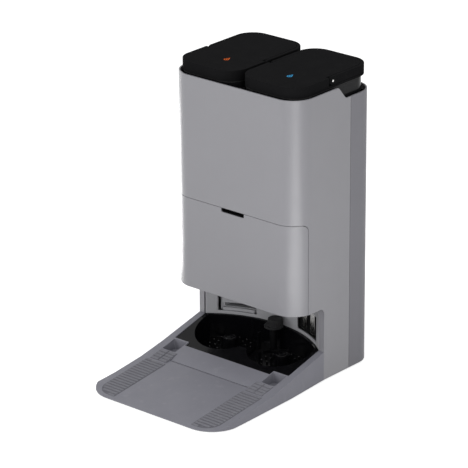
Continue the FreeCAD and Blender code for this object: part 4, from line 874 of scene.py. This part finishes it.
# Near-black bars just behind the side seams: painted shade in the seams between the shells.
grown("seam_shade_bars", rows, "station", "foot_rubber", foot_rubber, Count=2,
      First=(-seam_x, (front_high.y + cover_low.y) / 2, cover_high.z / 2), Step=(2 * seam_x, 0, 0),
      Bar=(1.6 * MM, cover_low.y - front_high.y + 0.1 * MM, cover_high.z - 16 * MM))
grown("rear_louvres", rows, "station", "grey_shell", rear_grey, 0.2, Count=7,
      First=(LOUVRE_MIDDLE_X, cover_high.y - 1.6 * MM, LOUVRE_START), Step=(0, 0, LOUVRE_PITCH),
      Bar=(75 * MM, 2.6 * MM, 0.8 * MM), Tilt=math.radians(35))
door_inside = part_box("door_grip")[0].y
grown("door_ribs", rows, "door", "grey_shell", shell_grey, 0.3, Count=DOOR_RIBS,
      First=(-(DOOR_RIBS - 1) / 2 * DOOR_RIB_PITCH, door_inside + 0.7 * MM, DOOR_MIDDLE),
      Step=(DOOR_RIB_PITCH, 0, 0),
      Bar=(1.6 * MM, 1.5 * MM, 112 * MM))
grown("filter_pleats", rows, "station", "foam", filter_paper, 0.2, Count=PLEATS,
      First=FIRST_PLEAT, Step=(PLEAT_PITCH, 0, 0), Bar=(1.3 * MM, 1.6 * MM, 36 * MM))


# %% [markdown]
# ## Small parts on the circuit board
# A real board is crowded with resistors and capacitors in loose rows. A grid of points, thinned and
# scaled at random with a fixed seed, gives that order and looks the same on every run.

# %% Components on the board
def components_tree():
    """Random small blocks standing on an upright board."""
    tree, source = new_tree("board_components", Seed=("Int", 4), Width=("Float", 0.04),
                            Height=("Float", 0.15), Centre=("Vector", None), Finish=("Material", None))
    grid = add_node(tree, "GeometryNodeMeshGrid", Size_X=source["Width"], Size_Y=source["Height"],
                    Vertices_X=8, Vertices_Y=24)
    skip = add_node(tree, "FunctionNodeRandomValue", {"data_type": "BOOLEAN"}, Probability=0.45,
                    Seed=source["Seed"])
    kept = add_node(tree, "GeometryNodeDeleteGeometry", {"domain": "POINT"}, Geometry=grid.outputs[0],
                    Selection=skip.outputs["Value"])
    chip = add_node(tree, "GeometryNodeMeshCube", Size=(2.6 * MM, 1.3 * MM, 1.4 * MM))
    sizes = add_node(tree, "FunctionNodeRandomValue", {"data_type": "FLOAT_VECTOR"}, Seed=source["Seed"])
    sizes.inputs[0].default_value = (0.5, 0.6, 0.6)
    sizes.inputs[1].default_value = (1.3, 1.5, 1.6)
    chips = add_node(tree, "GeometryNodeInstanceOnPoints", Points=kept.outputs[0], Instance=chip.outputs[0],
                     Scale=sizes.outputs[0])
    stood = add_node(tree, "GeometryNodeTransform", Geometry=chips.outputs[0], Translation=source["Centre"],
                     Rotation=(math.radians(90), 0, 0))
    close_tree(tree, stood.outputs[0], source["Finish"])
    return tree


BOARD_FACE_Y = 213.4 * MM
board_low, board_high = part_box("control_board")
board_middle = (board_low + board_high) / 2
grown("board_components", components_tree(), "station", "inner_plastic", inner_plastic, Seed=4,
      Width=42 * MM, Height=160 * MM, Centre=(board_middle.x, BOARD_FACE_Y, board_middle.z))


# %% [markdown]
# ## Hub caps and divider in the tray
# The tall hub in each well ends in a turned cap with one ring groove, where the robot's mop shaft
# lands, and a thin fin parts the two wells under the filter cap. A turned part is drawn as half a
# section and spun round its axis; its doubles are merged and its faces turned outwards.

# %% Turned caps and a fin
SPIN_STEPS = 48


def spun(name, section_mm, centre, body, slot_name, finish):
    """A turned piece from half a section, given as (radius, height) in millimetres."""
    work = bmesh.new()
    points = [work.verts.new((centre[0] + radius * MM, centre[1], height * MM))
              for radius, height in section_mm]
    edges = [work.edges.new(pair) for pair in zip(points, points[1:])]
    bmesh.ops.spin(work, geom=points + edges, cent=(centre[0], centre[1], 0), axis=(0, 0, 1),
                   angle=2 * math.pi, steps=SPIN_STEPS)
    bmesh.ops.remove_doubles(work, verts=work.verts, dist=0.01 * MM)
    bmesh.ops.recalc_face_normals(work, faces=work.faces)
    for face in work.faces:
        face.smooth = True
    mesh = bpy.data.meshes.new(name)
    work.to_mesh(mesh)
    work.free()
    mesh.set_sharp_from_angle(angle=math.radians(40))
    ready_piece(name, mesh, body, slot_name, finish)
    print(name, len(mesh.polygons), "faces")


HUB_CAP = [(0, 34.4), (5.6, 34.4), (6.6, 33.4), (8.6, 33.4), (9.4, 34.2), (11.4, 34.2), (12.2, 33.2),
           (12.2, 32.6), (0, 32.6)]
for side in ("left", "right"):
    low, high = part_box(f"wash_board_{side}")
    spun(f"hub_cap_{side}", HUB_CAP, (low + high) / 2, "tray", "black_gloss", deep_gloss)
grown("well_divider", rows, "tray", "black_gloss", deep_gloss, 0.4, Count=1,
      First=(-11 * MM, 92 * MM, 32 * MM), Bar=(1.6 * MM, 9 * MM, 35 * MM))


# %% [markdown]
# ## Dust bag
# The bag is non-woven paper cloth, full of dust: a box whose faces bulge, with a fold pressed into its
# sides, a seam round its front and many small creases. A cloth simulation could fill it, but this bag
# is held in a bin and hardly sags, so its form is worked out directly: each point of a fine grid goes
# to a rounded box, and folds and creases only ever move it inwards, so it stays inside its space.

# %% Dust bag with folds and a stitched seam
BAG_ROUNDNESS = 6.5
BAG_CUTS = 29
BAG_FULLNESS = 0.988
FOLD_DEPTH, SEAM_DEPTH, CREASE_DEPTH, FINE_DEPTH = 0.055, 0.025, 0.03, 0.008
bag_low, bag_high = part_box("dust_bag")
bag_middle = (bag_low + bag_high) / 2
bag_half = (bag_high - bag_low) / 2


def bag_point(grid_point):
    """Where a point of the unit cube lies on the filled bag; each fold takes a share of the size."""
    size = sum(abs(value) ** BAG_ROUNDNESS for value in grid_point) ** (1 / BAG_ROUNDNESS)
    unit = grid_point / size
    side = max(abs(unit.x), abs(unit.z))
    fold = FOLD_DEPTH * math.exp(-(unit.y / 0.22) ** 2) * side ** 4
    seam = SEAM_DEPTH * math.exp(-((unit.y + 0.72) / 0.07) ** 2) * side ** 2
    crease = CREASE_DEPTH * max(0.0, noise.noise(Vector((unit.x * 5, unit.y * 7, unit.z * 5))))
    fine = FINE_DEPTH * abs(noise.noise(unit * 19))
    shrink = BAG_FULLNESS - fold - seam - crease - fine
    return bag_middle + Vector((unit.x * bag_half.x, unit.y * bag_half.y, unit.z * bag_half.z)) * shrink


def make_bag():
    """The filled bag as one closed skin."""
    work = bmesh.new()
    bmesh.ops.create_cube(work, size=2)
    bmesh.ops.subdivide_edges(work, edges=work.edges, cuts=BAG_CUTS, use_grid_fill=True)
    for vertex in work.verts:
        vertex.co = bag_point(vertex.co)
    bmesh.ops.recalc_face_normals(work, faces=work.faces)
    for face in work.faces:
        face.smooth = True
    mesh = bpy.data.meshes.new("dust_bag_filled")
    work.to_mesh(mesh)
    work.free()
    mesh = modified_mesh(mesh, ("SUBSURF", {"levels": 1, "render_levels": 1}))
    mesh.name = "dust_bag_filled"
    bag = ready_piece("dust_bag_filled", mesh, "bag", "bag_paper", bag_paper, "dust_bag")
    print("dust bag", len(mesh.polygons), "faces")


make_bag()


# %% [markdown]
# ## Stitches on the bag's seam
# The bag's front panel is sewn on, and thread is too regular to leave to chance. A tree walks a rounded
# rectangle just in front of the seam and lays a short thread on it every few millimetres.

# %% Stitches round the front seam
def stitches_tree():
    """Short threads along a rounded rectangle that stands upright."""
    tree, source = new_tree("bag_stitches", Width=("Float", 0.2), Height=("Float", 0.1),
                            Corner=("Float", 0.02), Centre=("Vector", None), Gap=("Float", 0.005),
                            Finish=("Material", None))
    path = add_node(tree, "GeometryNodeCurvePrimitiveQuadrilateral", Width=source["Width"],
                    Height=source["Height"])
    soft = add_node(tree, "GeometryNodeFilletCurve", Curve=path.outputs[0], Radius=source["Corner"])
    along = add_node(tree, "GeometryNodeCurveToPoints", {"mode": "LENGTH"}, Curve=soft.outputs[0],
                     Length=source["Gap"])
    thread = add_node(tree, "GeometryNodeMeshCylinder", Vertices=8, Radius=0.45 * MM, Depth=3.2 * MM)
    threads = add_node(tree, "GeometryNodeInstanceOnPoints", Points=along.outputs["Points"],
                       Instance=thread.outputs[0], Rotation=along.outputs["Rotation"])
    stood = add_node(tree, "GeometryNodeTransform", Geometry=threads.outputs[0], Translation=source["Centre"],
                     Rotation=(math.radians(90), 0, 0))
    close_tree(tree, stood.outputs[0], source["Finish"])
    return tree


SEAM_MARGIN = 9 * MM
SEAM_PLACE = 0.70
grown("bag_stitches", stitches_tree(), "bag", "bag_paper", collar_card, Width=2 * bag_half.x - SEAM_MARGIN,
      Height=2 * bag_half.z - SEAM_MARGIN, Corner=14 * MM, Gap=5.5 * MM,
      Centre=(bag_middle.x, bag_middle.y - SEAM_PLACE * bag_half.y, bag_middle.z))
